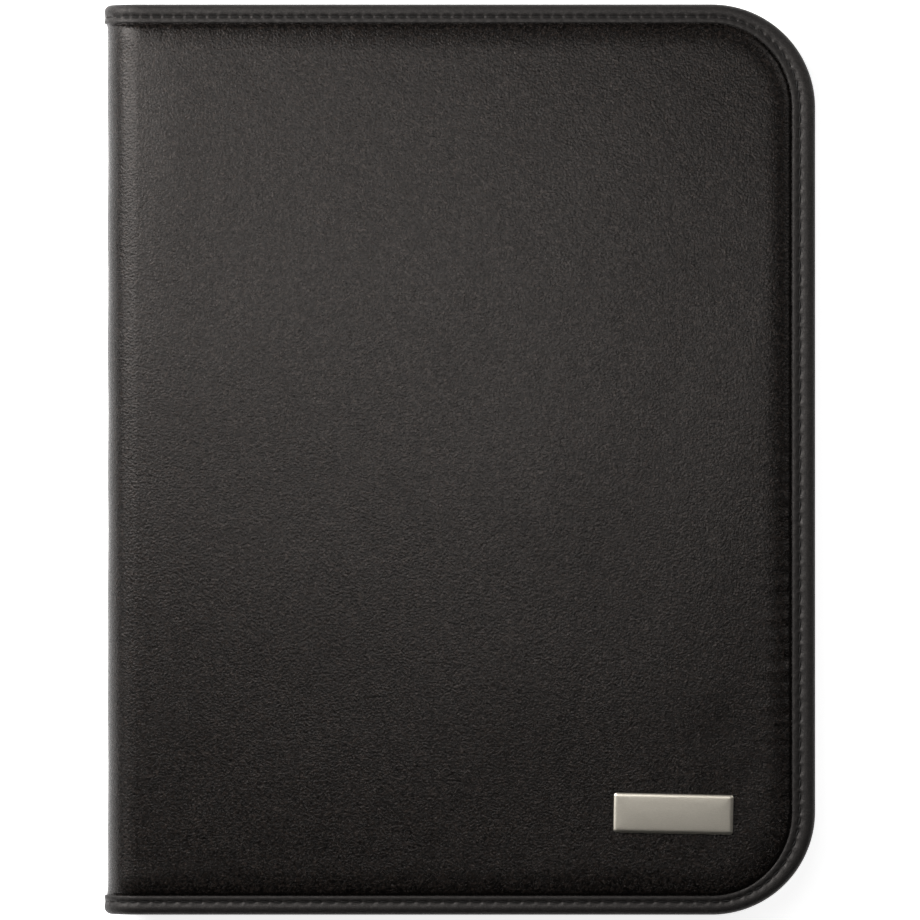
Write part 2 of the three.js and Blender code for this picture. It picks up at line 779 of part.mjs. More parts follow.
function penLoop() {
  const radius = PEN_LOOP_BORE / 2 + PEN_LOOP_WALL;
  const ring = new THREE.Shape();
  ring.absarc(0, 0, radius, 0, 2 * Math.PI, false);
  const bore = new THREE.Path();
  bore.absarc(0, 0, PEN_LOOP_BORE / 2, 0, 2 * Math.PI, true);
  ring.holes.push(bore);
  const loop = raised(ring, -PEN_LOOP_LENGTH / 2, PEN_LOOP_LENGTH);
  loop.rotateX(Math.PI / 2);
  const tab = box(
    [-PEN_LOOP_TAB / 2, -PEN_LOOP_LENGTH / 2, -radius],
    [PEN_LOOP_TAB / 2, PEN_LOOP_LENGTH / 2, -radius + PEN_LOOP_WALL],
  );
  const whole = join(loop, tab);
  whole.translate(PAD_LEFT - PEN_LOOP_CLEARANCE - radius, 0, INSIDE + radius);
  return whole;
}

// Inside of the front cover, drawn as on the back cover and then mirrored

const POCKET_X = FOLD_X + POCKET_LEFT;
const POCKET_END = WIDTH / 2 - POCKET_RIGHT;
const POCKET_Y = POCKET_FOOT - HEIGHT / 2;
const POCKET_FACE = INSIDE + POCKET + LAYER_GAP;
const CARD_X = POCKET_X + CARD_MARGIN;
const CARD_Y = -HEIGHT / 2 + CARD_FROM_FOOT;

function documentPocket() {
  const head = HEIGHT / 2 - POCKET_FROM_HEAD;
  return box([POCKET_X, POCKET_Y, INSIDE], [POCKET_END, head, INSIDE + POCKET]);
}

// Card pockets lie on each other, each a step lower than the one behind it
function cardPocket(row) {
  const level = POCKET_FACE + row * (CARD_POCKET + LAYER_GAP);
  const head = CARD_Y + CARD_HEIGHT - row * CARD_STEP;
  return box([CARD_X, CARD_Y, level], [CARD_X + CARD_WIDTH, head, level + CARD_POCKET]);
}

function cardWindow() {
  const right = POCKET_END - CARD_MARGIN;
  return box(
    [right - WINDOW_WIDTH, CARD_Y, POCKET_FACE],
    [right, CARD_Y + WINDOW_HEIGHT, POCKET_FACE + WINDOW_SHEET],
  );
}

function metalPlate() {
  const shape = roundedRectangle(
    PLATE_BEVEL - PLATE_LENGTH / 2,
    PLATE_BEVEL - PLATE_HEIGHT / 2,
    PLATE_LENGTH / 2 - PLATE_BEVEL,
    PLATE_HEIGHT / 2 - PLATE_BEVEL,
    PLATE_CORNER,
  );
  const geometry = new THREE.ExtrudeGeometry(shape, {
    depth: PLATE_THICKNESS - 2 * PLATE_BEVEL,
    bevelThickness: PLATE_BEVEL,
    bevelSize: PLATE_BEVEL,
    bevelSegments: 2,
    curveSegments: 3,
  });
  geometry.translate(0, 0, PLATE_BEVEL);
  return geometry;
}

// Assembly

const folder = new THREE.Group();

function addPiece(group, name, finish, geometry) {
  const mesh = new THREE.Mesh(geometry, new THREE.MeshStandardMaterial(finishes[finish]));
  mesh.name = name;
  group.add(mesh);
  return mesh;
}

function addCover(name, place) {
  const cover = new THREE.Group();
  addPiece(cover, `${name}_fabric`, 'fabric', place(coverFabric()));
  addPiece(cover, `${name}_foam`, 'foam', place(coverFoam()));
  addPiece(cover, `${name}_board`, 'board', place(coverLayer('board')));
  addPiece(cover, `${name}_lining`, 'lining', place(coverLayer('lining')));
  addPiece(cover, `${name}_binding`, 'binding', place(coverBinding()));
  addPiece(cover, `${name}_zipper_tape`, 'tape', place(zipperTape()));
  addPiece(cover, `${name}_zipper_stop`, 'metal', place(topStop()));
  folder.add(cover);
  return cover;
}

const backCover = addCover('back', (geometry) => geometry);
addPiece(backCover, 'back_zipper_chain', 'chain', zipperChain(0));
addPiece(backCover, 'zipper_end_stop', 'metal', bottomStop());
addPiece(backCover, 'pad_backing_board', 'board', padBackingBoard());
addPiece(backCover, 'pad_sleeve', 'lining', padSleeve());
addPiece(backCover, 'pad_paper', 'paper', padPaper());
addPiece(backCover, 'pad_head_tape', 'lining', padHeadTape());
addPiece(backCover, 'pen_loop', 'elastic', penLoop());

const frontCover = addCover('front', mirrored);
addPiece(frontCover, 'front_zipper_chain', 'chain', mirrored(zipperChain(0.5)));
addPiece(frontCover, 'document_pocket', 'lining', mirrored(documentPocket()));
addPiece(frontCover, 'card_pocket_upper', 'lining', mirrored(cardPocket(0)));
addPiece(frontCover, 'card_pocket_lower', 'lining', mirrored(cardPocket(1)));
addPiece(frontCover, 'card_window', 'window', mirrored(cardWindow()));
const plate = addPiece(frontCover, 'metal_plate', 'metal', metalPlate());
plate.position.set(
  WIDTH / 2 - PLATE_FROM_SIDE,
  PLATE_FROM_FOOT - HEIGHT / 2,
  THICKNESS + LAYER_GAP,
);
plate.rotation.z = THREE.MathUtils.degToRad(PLATE_TURN);

for (let strip = 1; strip <= STRIP_TURNS.length; strip += 1) {
  const spine = new THREE.Group();
  addPiece(spine, `spine_fabric_${strip}`, 'fabric', spineFabric(strip));
  addPiece(spine, `spine_foam_${strip}`, 'foam', spineFoam(strip));
  addPiece(spine, `spine_lining_${strip}`, 'lining', spineLining(strip));
  addPiece(spine, `spine_foot_binding_${strip}`, 'binding', spineBinding(strip, -1));
  addPiece(spine, `spine_head_binding_${strip}`, 'binding', spineBinding(strip, 1));
  folder.add(spine);
}

const runner = new THREE.Group();
runner.position.set(SLIDER_X, -CHAIN_Y, MIDDLE);
runner.rotation.x = Math.PI / 2;
addPiece(runner, 'slider', 'metal', sliderBody());
addPiece(runner, 'puller', 'metal', puller());
folder.add(runner);

export default folder;
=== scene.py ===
# %% [markdown]
# # A zippered document folder
#
# The real folder is a book made of cloth. Two stiff padded covers lie on each other, a soft spine
# joins them at the left, a narrow binding is sewn round every edge, and a zipper runs between the
# covers. Everything below is measured in metres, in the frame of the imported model, so a piece that is
# made here lies where its solid lies.

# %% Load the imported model
import json
import math

import bpy
import numpy as np
from mathutils import Matrix, Vector, geometry


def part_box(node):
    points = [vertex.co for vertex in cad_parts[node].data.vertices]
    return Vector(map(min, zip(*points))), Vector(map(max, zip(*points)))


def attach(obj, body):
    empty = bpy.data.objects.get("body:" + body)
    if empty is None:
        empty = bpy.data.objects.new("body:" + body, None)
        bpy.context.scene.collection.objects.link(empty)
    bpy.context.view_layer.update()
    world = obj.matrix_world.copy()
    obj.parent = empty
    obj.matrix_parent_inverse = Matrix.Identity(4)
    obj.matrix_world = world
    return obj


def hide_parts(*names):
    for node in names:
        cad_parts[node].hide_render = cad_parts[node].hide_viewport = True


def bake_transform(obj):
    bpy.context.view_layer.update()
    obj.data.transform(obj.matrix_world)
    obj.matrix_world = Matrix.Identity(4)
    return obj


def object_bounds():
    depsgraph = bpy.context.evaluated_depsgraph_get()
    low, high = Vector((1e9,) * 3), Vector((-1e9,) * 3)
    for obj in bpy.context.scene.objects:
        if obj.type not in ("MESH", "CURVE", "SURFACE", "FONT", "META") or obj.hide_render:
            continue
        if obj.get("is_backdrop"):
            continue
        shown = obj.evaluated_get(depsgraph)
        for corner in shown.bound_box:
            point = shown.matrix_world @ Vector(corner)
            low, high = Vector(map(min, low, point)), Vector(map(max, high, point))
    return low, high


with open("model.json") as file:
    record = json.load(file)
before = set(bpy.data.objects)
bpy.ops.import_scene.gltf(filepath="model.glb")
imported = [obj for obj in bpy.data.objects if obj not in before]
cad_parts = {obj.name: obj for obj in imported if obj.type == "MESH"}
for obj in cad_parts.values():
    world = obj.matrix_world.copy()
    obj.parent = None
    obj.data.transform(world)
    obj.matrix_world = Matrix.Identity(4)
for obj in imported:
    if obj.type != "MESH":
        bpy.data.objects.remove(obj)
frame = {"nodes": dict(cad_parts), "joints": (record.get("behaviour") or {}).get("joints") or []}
nodes = frame["nodes"]
cad_low, cad_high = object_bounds()
print("solids", len(nodes), "box in mm", [round(1000 * size) for size in cad_high - cad_low])

# %% [markdown]
# The sizes that drive the soft pieces are read from the solids: the fold line, the thickness and the
# free edges. Only what the solids don't hold, such as the width of a stitch, is a number here.

# %% Sizes taken from the solids
MM = 0.001
hinge = next(joint for joint in frame["joints"] if joint["name"] == "fold_middle")["pos_m"]
MIDDLE = hinge[2]
THICK = 2 * MIDDLE
FOLD_X = hinge[0] + MIDDLE
EDGE_X, EDGE_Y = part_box("front_binding")[1].xy
CORNER = 39 * MM
print("thickness", round(THICK / MM, 1), "fold at", round(FOLD_X / MM, 1), "edge at", round(EDGE_X / MM, 1))

# %% [markdown]
# ## Camera and light
#
# The photograph looks straight down on the folder. A long lens keeps its sides out of sight, as in the
# photograph.

# %% Camera over the folder
PIXEL = 0.3777 * MM
PHOTO_SIDE = 920
FOLDER_MIDDLE = 459.5
CAMERA_HEIGHT = 4.0

scene = bpy.context.scene
scene.view_settings.view_transform = "Standard"
camera = bpy.data.objects.new("camera", bpy.data.cameras.new("camera"))
scene.collection.objects.link(camera)
scene.camera = camera
camera.data.lens = camera.data.sensor_width * (CAMERA_HEIGHT - MIDDLE) / (PHOTO_SIDE * PIXEL)
camera.data.clip_end = 100
aside = (PHOTO_SIDE / 2 - FOLDER_MIDDLE) * PIXEL
camera.location = (aside, -aside, CAMERA_HEIGHT)
print("lens", round(camera.data.lens), "mm")

# %% [markdown]
# The cloth is nearly black, so what shows on it is the soft reflection of the lamps. Four are used: a
# lamp close above the upper half makes the pale band there, a tall one at the left lights the spine, and
# two far ones fill the left and the right edges. Each has a place, a target that it points at, a width
# and a height, a radiance and a turn about its own axis in degrees.

# %% Lamps
LAMPS = {
    "key_lamp": ((-1.5, 0.62, 0.9), (-0.13, 0.1, 0), (1.2, 0.95), 4.2, 0),
    "top_lamp": ((-0.15, 0.11, 0.55), (-0.15, 0.11, 0), (0.6, 0.22), 3.7, -14),
    "left_lamp": ((-0.56, 0.39, 0.5), (-0.12, 0.23, 0), (0.56, 0.76), 7.4, 0),
    "fill_lamp": ((1.2, 0.7, 0.9), (0, 0, 0), (1.1, 0.9), 1.8, 0),
}
for name, (place, target, size, radiance, turn) in LAMPS.items():
    light = bpy.data.lights.new(name, "AREA")
    light.shape = "RECTANGLE"
    light.size, light.size_y = size
    light.energy = radiance * math.pi * size[0] * size[1]
    holder = bpy.data.objects.new(name, light)
    holder.location = place
    aimed = (Vector(place) - Vector(target)).to_track_quat("Z", "Y").to_matrix()
    holder.rotation_euler = (aimed @ Matrix.Rotation(math.radians(turn), 3, "Z")).to_euler()
    holder.visible_camera = False
    scene.collection.objects.link(holder)
    print(name, round(light.energy, 1), "W")

# %% [markdown]
# The sky, the floor's paint and every finish are trees of nodes. A node's input gets either a plain value
# or another node's output, so one helper serves all of them.

# %% Helper for trees of nodes


class NodeTree:
    """Short ways to add nodes to a tree and to join them."""

    def __init__(self, tree):
        self.tree = tree

    def feed(self, target, value):
        """Gives an input a value, or the output of another node."""
        if isinstance(value, bpy.types.NodeSocket):
            self.tree.links.new(value, target)
        else:
            target.default_value = value

    def node(self, kind, inputs=(), **settings):
        """A new node with its settings, and with what its inputs get by name or number."""
        made = self.tree.nodes.new("ShaderNode" + kind)
        for label, value in settings.items():
            setattr(made, label, value)
        for label, value in dict(inputs).items():
            self.feed(made.inputs[label], value)
        return made

    def times(self, first, second):
        return self.node("Math", {0: first, 1: second}, operation="MULTIPLY").outputs[0]

    def plus(self, first, second):
        return self.node("Math", {0: first, 1: second}, operation="ADD").outputs[0]

    def ranged(self, value, low, high, from_low=0, from_high=1):
        """Takes what lies between from_low and from_high to the range from low to high."""
        inputs = {"Value": value, "From Min": from_low, "From Max": from_high, "To Min": low, "To Max": high}
        return self.node("MapRange", inputs).outputs["Result"]


# %% [markdown]
# The sky is pale near the horizon only, and palest on the side of the first lamp, so it hardly greys the
# black cloth. The picture's white comes from the floor: a pale matt paint takes the folder's shadow, and a
# glow is added to it that is seen directly, mirrored or through a clear piece, but lights nothing matt.

# %% Sky
SKY_LEVEL = 0.95
ZENITH_LEVEL = 0.04
DARKENS_BETWEEN = (0.1, 0.7)
FAR_SIDE_SHARE = 0.6
TOWARD_KEY = (-0.8, 0.55, 0)

world = bpy.data.worlds.new("studio")
scene.world = world
world.use_nodes = True
sky = NodeTree(world.node_tree)
direction = sky.node("TexCoord").outputs["Generated"]
height = sky.node("SeparateXYZ", {0: direction}).outputs["Z"]
toward_key = sky.node("VectorMath", {0: direction, 1: TOWARD_KEY}, operation="DOT_PRODUCT").outputs["Value"]
by_height = sky.ranged(height, SKY_LEVEL, ZENITH_LEVEL, *DARKENS_BETWEEN)
by_side = sky.ranged(toward_key, FAR_SIDE_SHARE, 1, -0.7, 0.7)
sky.feed(world.node_tree.nodes["Background"].inputs["Strength"], sky.times(by_height, by_side))
print("sky", SKY_LEVEL, "at the horizon and", ZENITH_LEVEL, "overhead")

# %% Floor
FLOOR_REACH = 30
FLOOR_BELOW = 0.05 * MM
FLOOR_GREY = 0.8
FLOOR_GLOW = 0.84

floor_mesh = bpy.data.meshes.new("floor")
corners = [(x * FLOOR_REACH, y * FLOOR_REACH, 0) for x, y in ((-1, -1), (1, -1), (1, 1), (-1, 1))]
floor_mesh.from_pydata(corners, [], [(0, 1, 2, 3)])
floor = bpy.data.objects.new("floor", floor_mesh)
floor.location.z = -FLOOR_BELOW
scene.collection.objects.link(floor)
floor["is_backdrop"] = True

# %% Paint of the floor
paint = bpy.data.materials.new("floor_paint")
paint.use_nodes = True
paint.node_tree.nodes.clear()
tree = NodeTree(paint.node_tree)
rays = tree.node("LightPath").outputs
seen = tree.plus(tree.plus(rays["Is Camera Ray"], rays["Is Glossy Ray"]), rays["Is Transmission Ray"])
matt = tree.node("BsdfDiffuse", {"Color": (FLOOR_GREY, FLOOR_GREY, FLOOR_GREY, 1)})
glow = tree.node("Emission", {"Strength": tree.times(seen, FLOOR_GLOW)})
both = tree.node("AddShader", {0: matt.outputs[0], 1: glow.outputs[0]})
tree.node("OutputMaterial", {"Surface": both.outputs[0]})
floor_mesh.materials.append(paint)
print("floor", 2 * FLOOR_REACH, "m wide")

# %% [markdown]
# ## Materials
#
# Each finish is a small node tree on the Principled shader. A texture that is measured in object
# coordinates has the same grain everywhere, so a weave needs no unwrapping. The helper makes the
# shader, and each function below adds the weave, grain or brushing of one finish.

# %% Helper for a finish


class Finish(NodeTree):
    """A material with its Principled shader, and short ways to add textures to it."""

    def __init__(self, name, colour, roughness, **values):
        self.material = bpy.data.materials.new(name)
        self.material.use_nodes = True
        super().__init__(self.material.node_tree)
        self.shader = self.tree.nodes["Principled BSDF"].inputs
        self.shader["Base Color"].default_value = (*colour, 1)
        self.shader["Roughness"].default_value = roughness
        for label, value in values.items():
            self.shader[label.replace("_", " ")].default_value = value
        self.place = self.node("TexCoord").outputs["Object"]

    def stretched(self, scale, turn=0):
        """Object coordinates times a scale for each axis, after a turn about Z."""
        inputs = {"Vector": self.place, "Scale": scale, "Rotation": (0, 0, turn)}
        return self.node("Mapping", inputs).outputs["Vector"]

    def noise(self, size, detail=2, vector=None):
        """Noise whose blotches measure about size metres across."""
        inputs = {"Vector": vector or self.place, "Scale": 1 / size, "Detail": detail}
        return self.node("TexNoise", inputs).outputs["Fac"]

    def specks(self, size):
        """Small cells of about size metres, each with its own random level."""
        cells = self.node("TexVoronoi", {"Vector": self.place, "Scale": 1 / size})
        return self.node("SeparateColor", {0: cells.outputs["Color"]}).outputs[0]

    def ribs(self, pitch, axis, vector=None):
        """Soft ribs across an axis, one in each pitch."""
        inputs = {"Vector": vector or self.place, "Scale": math.pi / 10 / pitch}
        return self.node("TexWave", inputs, bands_direction=axis).outputs["Fac"]

    def mixture(self, first, share, second):
        """A share of one texture, and the rest of another."""
        return self.plus(self.times(first, share), self.times(second, 1 - share))

    def colours(self, value, low, high):
        """Mixes the base colour from low to high by a texture."""
        inputs = {"Factor": value, "A": (*low, 1), "B": (*high, 1)}
        self.feed(self.shader["Base Color"], self.node("Mix", inputs, data_type="RGBA").outputs["Result"])

    def roughness(self, value, low, high):
        self.feed(self.shader["Roughness"], self.ranged(value, low, high))

    def bump(self, height, depth):
        """Raises the surface by up to depth metres where height is 1."""
        raised = self.node("Bump", {"Distance": depth, "Height": height})
        self.feed(self.shader["Normal"], raised.outputs["Normal"])


# %% [markdown]
# The outer cloth is a black satin microfibre: short fibres that lie flat, so it has a soft shine with a
# fine speckle of about half a millimetre. Small cells with random levels make the speckle: a bright cell
# is smoother and a little browner than a dark one, and a coarser noise decides where bright cells show. A
# second noise gives the height its grain.

# %% Outer cloth


def outer_cloth():
    finish = Finish("outer_cloth", (0.0085, 0.008, 0.0078), 0.4, Sheen_Weight=0.02, Sheen_Roughness=0.4,
                    Sheen_Tint=(0.9, 0.8, 0.75, 1), Specular_IOR_Level=0.25, Specular_Tint=(1, 0.93, 0.89, 1))
    specks = finish.specks(0.55 * MM)
    grain = finish.noise(0.75 * MM)
    fibres = finish.ranged(finish.noise(1.3 * MM, detail=3), 0, 1, 0.3, 0.62)
    bright = finish.times(finish.times(specks, specks), fibres)
    finish.colours(bright, (0.0003, 0.0003, 0.0003), (0.022, 0.017, 0.0145))
    finish.roughness(specks, 0.33, 0.14)
    finish.bump(finish.mixture(specks, 0.3, grain), 0.27 * MM)
    return finish.material


# %% [markdown]
# The binding is a tape of similar cloth, a little rougher and with a finer speckle. The thread of its
# stitches is twisted and nearly as dark; a very fine noise stands for the twist.

# %% Binding and thread


def binding_tape():
    finish = Finish("binding_tape", (0.008, 0.0077, 0.0076), 0.46, Sheen_Weight=0.1, Sheen_Roughness=0.35,
                    Sheen_Tint=(0.9, 0.85, 0.82, 1), Specular_IOR_Level=0.32, Specular_Tint=(1, 0.94, 0.9, 1))
    specks = finish.specks(0.4 * MM)
    grain = finish.noise(1.0 * MM, detail=3)
    finish.colours(finish.times(specks, specks), (0.003, 0.0028, 0.0028), (0.019, 0.017, 0.016))
    finish.roughness(specks, 0.64, 0.44)
    finish.bump(finish.mixture(specks, 0.4, grain), 0.07 * MM)
    return finish.material


def sewing_thread():
    finish = Finish("sewing_thread", (0.008, 0.0075, 0.007), 0.5, Specular_IOR_Level=0.2)
    twist = finish.noise(0.12 * MM, detail=1)
    finish.colours(twist, (0.003, 0.0028, 0.0028), (0.014, 0.013, 0.012))
    finish.bump(twist, 0.02 * MM)
    return finish.material


OUTER_CLOTH = outer_cloth()
BINDING_TAPE = binding_tape()
SEWING_THREAD = sewing_thread()
print("finishes", OUTER_CLOTH.name, BINDING_TAPE.name, SEWING_THREAD.name)

# %% [markdown]
# ## Meshes
#
# The soft pieces are grids of points that follow the folder's edge, so the helpers make the faces of a
# grid, turn a closed mesh right side out and link it as a piece. numpy places many points at once.

# %% Helpers for meshes


def grid_faces(rows, columns, round_columns=False):
    """Quads of a grid whose points are numbered row by row."""
    row = np.arange(rows - 1)[:, None] * columns
    here = np.arange(columns if round_columns else columns - 1)[None, :]
    after = (here + 1) % columns
    quads = [row + here, row + after, row + columns + after, row + columns + here]
    return np.stack(quads, -1).reshape(-1, 4)


def make_piece(name, points, faces, material, sharp=50):
    """Links a mesh as a piece, smooth but for edges that turn by more than sharp degrees."""
    mesh = bpy.data.meshes.new(name)
    mesh.from_pydata(np.asarray(points).tolist(), [], [list(map(int, face)) for face in faces])
    mesh.materials.append(material)
    mesh.shade_smooth()
    if sharp:
        mesh.set_sharp_from_angle(angle=math.radians(sharp))
    piece = bpy.data.objects.new(name, mesh)
    scene.collection.objects.link(piece)
    return piece


# %% Solids from loops of points


def faced_out(points, faces):
    """The faces of a closed mesh, all turned round if they face inwards."""
    points = np.asarray(points)
    volume = 0
    for face in faces:
        corners = points[np.asarray(face)]
        for at in range(1, len(face) - 1):
            volume += np.dot(corners[0], np.cross(corners[at], corners[at + 1]))
    return [list(face) for face in faces] if volume > 0 else [list(face)[::-1] for face in faces]


def tube(loops, joined=False):
    """Points and faces of a solid through loops of points, closed at its ends or joined in a ring."""
    rows, columns, _ = loops.shape
    if joined:
        faces = (grid_faces(rows + 1, columns, True) % (rows * columns)).tolist()
    else:
        faces = grid_faces(rows, columns, True).tolist()
        faces += [list(range(columns))[::-1], list(range((rows - 1) * columns, rows * columns))]
    points = loops.reshape(-1, 3)
    return points, faced_out(points, faces)


def many_tubes(loops):
    """One mesh of many small solids that share their faces. The loops of each are a row."""
    count, rows, columns, _ = loops.shape
    faces = tube(loops[0])[1]
    size = rows * columns
    all_faces = [[size * at + corner for corner in face] for at in range(count) for face in faces]
    return loops.reshape(-1, 3), all_faces


def merged(parts):
    """One mesh from several lists of points and faces."""
    points, faces, count = [], [], 0
    for some_points, some_faces in parts:
        points.append(np.asarray(some_points))
        faces += [[count + at for at in face] for face in some_faces]
        count += len(some_points)
    return np.concatenate(points), faces


# %% Distances and soft irregular waves


def distance_run(path):
    """Distance along a line of points, for each point."""
    return np.concatenate([[0], np.cumsum(np.linalg.norm(np.diff(path, axis=0), axis=1))])


def wavy(x, y, length, seed, waves=9):
    """Smooth irregular height of about -1 to 1, with blotches of about that length."""
    draw = np.random.default_rng(seed)
    total = 0
    for _ in range(waves):
        turn = draw.uniform(0, 2 * math.pi)
        size = length * draw.uniform(1.2, 2.6)
        along = x * math.cos(turn) + y * math.sin(turn)
        total = total + np.sin(2 * math.pi * along / size + draw.uniform(0, 2 * math.pi))
    return total / math.sqrt(waves)


def smooth(share):
    share = np.clip(share, 0, 1)
    return share * share * (3 - 2 * share)


# %% [markdown]
# The binding, the cloth, the lining and the zipper all follow the same line: the three free edges of a
# cover, straight at the foot, the opening side and the head and round at the two corners between them.
# Each station on the line has a way out, so a point at any inset is the edge point less the inset along
# that way.

# %% The free edge of a cover


def edge_line(spacing, start_x=FOLD_X):
    """Stations from the foot of the fold round to its head: edge point, way out and distance run."""
    centre_x, centre_y = EDGE_X - CORNER, EDGE_Y - CORNER
    right = math.pi / 2
    quarter = np.radians(np.linspace(0, 90, round(CORNER * right / spacing) + 1))
    along_x = np.linspace(start_x, centre_x, round((centre_x - start_x) / spacing) + 1)
    along_y = np.linspace(-centre_y, centre_y, round(2 * centre_y / spacing) + 1)
    stretches = [(along_x, -centre_y, -right), (centre_x, -centre_y, quarter - right), (centre_x, along_y, 0),
                 (centre_x, centre_y, quarter), (along_x[::-1], centre_y, right)]
    stations = [np.stack(np.broadcast_arrays(*stretch), -1)[:-1] for stretch in stretches]
    x, y, angle = np.concatenate([*stations, [(start_x, centre_y, right)]]).T
    out = np.stack([np.cos(angle), np.sin(angle)], -1)
    edge = np.stack([x, y], -1) + CORNER * out
    return edge, out, distance_run(edge)


# %% The oval of the spine and the width of the binding


def oval(angle, across, up):
    """Point of the spine's oval at an angle: x and z."""
    radius = 1 / np.hypot(np.cos(angle) / across, np.sin(angle) / up)
    return FOLD_X + radius * np.cos(angle), MIDDLE + radius * np.sin(angle)


HEAD_WIDTH = 7.15 * MM
SIDE_WIDTH = 8.7 * MM


def binding_width(out):
    """The binding is a little wider along the opening edge than along the head and the foot."""
    return HEAD_WIDTH + (SIDE_WIDTH - HEAD_WIDTH) * np.clip(out[:, 0], 0, 1) ** 2


edge, out, run = edge_line(1.5 * MM)
print("edge stations", len(edge), "run", round(run[-1], 3), "m")

# %% [markdown]
# ## Outer cloth
#
# On the real folder one sheet of cloth wraps both padded covers and the spine between them. A board and
# a thin foam sheet fill it, so a cover is nearly flat, curves down to the seam over about a centimetre,
# and puckers a little where the seam pulls it. A cloth simulation could make those puckers, but the
# cloth is glued to its foam, so it hardly moves: the net of points is laid out here and each point gets
# its depth from the shoulder, the puckers and a few soft dents.
#
# The net has rings that follow the edge, close together where the cloth turns down, and an even lattice
# inside them. The column of points on the fold line is shared with the spine.

# %% The net of a cover, seen from above
RIM = 2.4 * MM
NET_REACH = 26 * MM
RING_SHARES = np.array([0, 0.02, 0.05, 0.09, 0.14, 0.2, 0.27, 0.35, 0.44, 0.54, 0.65, 0.77, 0.88, 1])
LATTICE = 3.8 * MM
SEAM_GAP = 0.3 * MM

seam = binding_width(out) + SEAM_GAP
insets = seam[:, None] + (NET_REACH - seam[:, None]) * RING_SHARES
insets = np.concatenate([np.tile([RIM, 2 * RIM], (len(edge), 1)), insets], 1)
STATIONS, RINGS = insets.shape
rings = edge[:, None] - insets[..., None] * out[:, None]

inner_x, inner_y = EDGE_X - NET_REACH, EDGE_Y - NET_REACH
fold_y = np.linspace(-inner_y, inner_y, round(2 * inner_y / LATTICE) + 1)[1:-1]
fold_column = np.stack([np.full(len(fold_y), FOLD_X), fold_y], -1)
lattice_x = np.arange(FOLD_X + LATTICE, inner_x - 0.6 * LATTICE, LATTICE)
lattice = np.stack(np.meshgrid(lattice_x, fold_y, indexing="ij"), -1).reshape(-1, 2)
past_corner = np.maximum(np.abs(lattice) - [EDGE_X - CORNER, EDGE_Y - CORNER], 0)
past_corner[:, 0] *= lattice[:, 0] > 0
off_corner = np.linalg.norm(past_corner, axis=1) < CORNER - NET_REACH - 0.6 * LATTICE
lattice = lattice[off_corner & (np.abs(lattice[:, 1]) < inner_y - 0.5 * LATTICE)]

net = np.concatenate([rings.reshape(-1, 2), fold_column, lattice])
inner_count = len(net) - insets.size
net_inset = np.concatenate([insets.ravel(), np.full(inner_count, NET_REACH)])
net_seam = np.concatenate([np.repeat(seam, RINGS), np.full(inner_count, HEAD_WIDTH)])
net_run = np.concatenate([np.repeat(run, RINGS), np.zeros(inner_count)])
print("points on a cover", len(net))

# %% The net's faces
SAME_PLACE = 1e-7
NO_AREA = 1e-10
last_ring = np.arange(STATIONS) * RINGS + RINGS - 1
inside = np.concatenate([last_ring, np.arange(STATIONS * RINGS, len(net))])
found = geometry.delaunay_2d_cdt([Vector(point) for point in net[inside]], [], [], 0, SAME_PLACE, True)
triangles = np.array([[inside[found[3][corner][0]] for corner in face] for face in found[2]])
first, second, third = (net[triangles[:, corner]] for corner in range(3))
area = np.cross(second - first, third - first)
triangles[area < 0] = triangles[area < 0][:, ::-1]
triangles = triangles[np.abs(area) > NO_AREA]
net_faces = grid_faces(STATIONS, RINGS)[:, ::-1].tolist() + triangles.tolist()

fold_rows = np.concatenate([np.arange(RINGS), STATIONS * RINGS + np.arange(len(fold_y)),
                            (STATIONS - 1) * RINGS + np.arange(RINGS)[::-1]])
print("faces on a cover", len(net_faces), "rows on the spine", len(fold_rows))

# %% [markdown]
# The depth of the cloth is counted from the cover's face inwards. The shoulder is a quarter of a round
# edge that ends in the seam. Puckers run square to the seam and fade out over the shoulder; they are
# strongest at the foot and along the lower half of the opening edge, where the photograph shows them.
# A wave has a height in mm, a length in metres and a seed; a dent has a place, a size and a depth in mm.

# %% Depth of the outer cloth
SEAM_DEPTH = 2.6 * MM
SHOULDER = 10 * MM
FACE_FROM = 12 * MM
SEAM_DIP = 0.55 * MM
SEAM_DIP_WIDTH = 0.45 * MM
PUCKER = 6.5 * MM
PUCKER_LEAST = 0.05
PUCKER_MORE = 0.2
FOLD_DROP = 0.65 * MM
FOLD_REACH = 17 * MM
PROUD = 0.35 * MM
WAVES = [(0.11, 0.045, 1), (0.02, 0.012, 3)]
FRONT_DENTS = [(101, -103, 9, 0.34), (109, -117, 8, 0.3), (100, -131, 9, 0.32), (-96, -120, 14, 0.2)]
BACK_DENTS = [(60, 40, 16, 0.3), (-50, -80, 18, 0.25)]


def shoulder(inset, seam_inset):
    """Depth of the padded edge: nothing on the face, all of it at the seam."""
    share = np.clip((inset - seam_inset) / SHOULDER, 0, 1)
    return SEAM_DEPTH * (1 - np.sqrt(1 - (1 - share) ** 2))


def hill(value, low, high, soft):
    """1 between low and high, falling to 0 over the soft distance outside them."""
    return smooth((value - low) / soft + 1) * smooth((high - value) / soft + 1)


def puckers(front):
    """Folds square to the seam. Their strength follows the place on the cover."""
    x, y = net.T
    from_seam = net_inset - net_seam
    window = np.clip(1 - from_seam / (NET_REACH - net_seam), 0, 1) ** 2 * smooth(from_seam / (1.5 * MM))
    lower_side = hill(y, -0.095, -0.012, 0.03) * (x > 0.09)
    foot = hill(x, -0.118, 0.092, 0.02) * (y < -0.13)
    strength = PUCKER_LEAST + PUCKER_MORE * (lower_side + 0.8 * foot if front else foot * 0.7)
    drift = 0.9 * wavy(x, y, 0.03, 5 if front else 6)
    turns = 2 * math.pi * net_run / PUCKER
    wave = np.sin(turns + drift) + 0.5 * np.sin(turns / 1.7)
    fade = 0.6 + 0.4 * wavy(x, y, 0.04, 15 if front else 16)
    return wave * window * strength * fade * MM


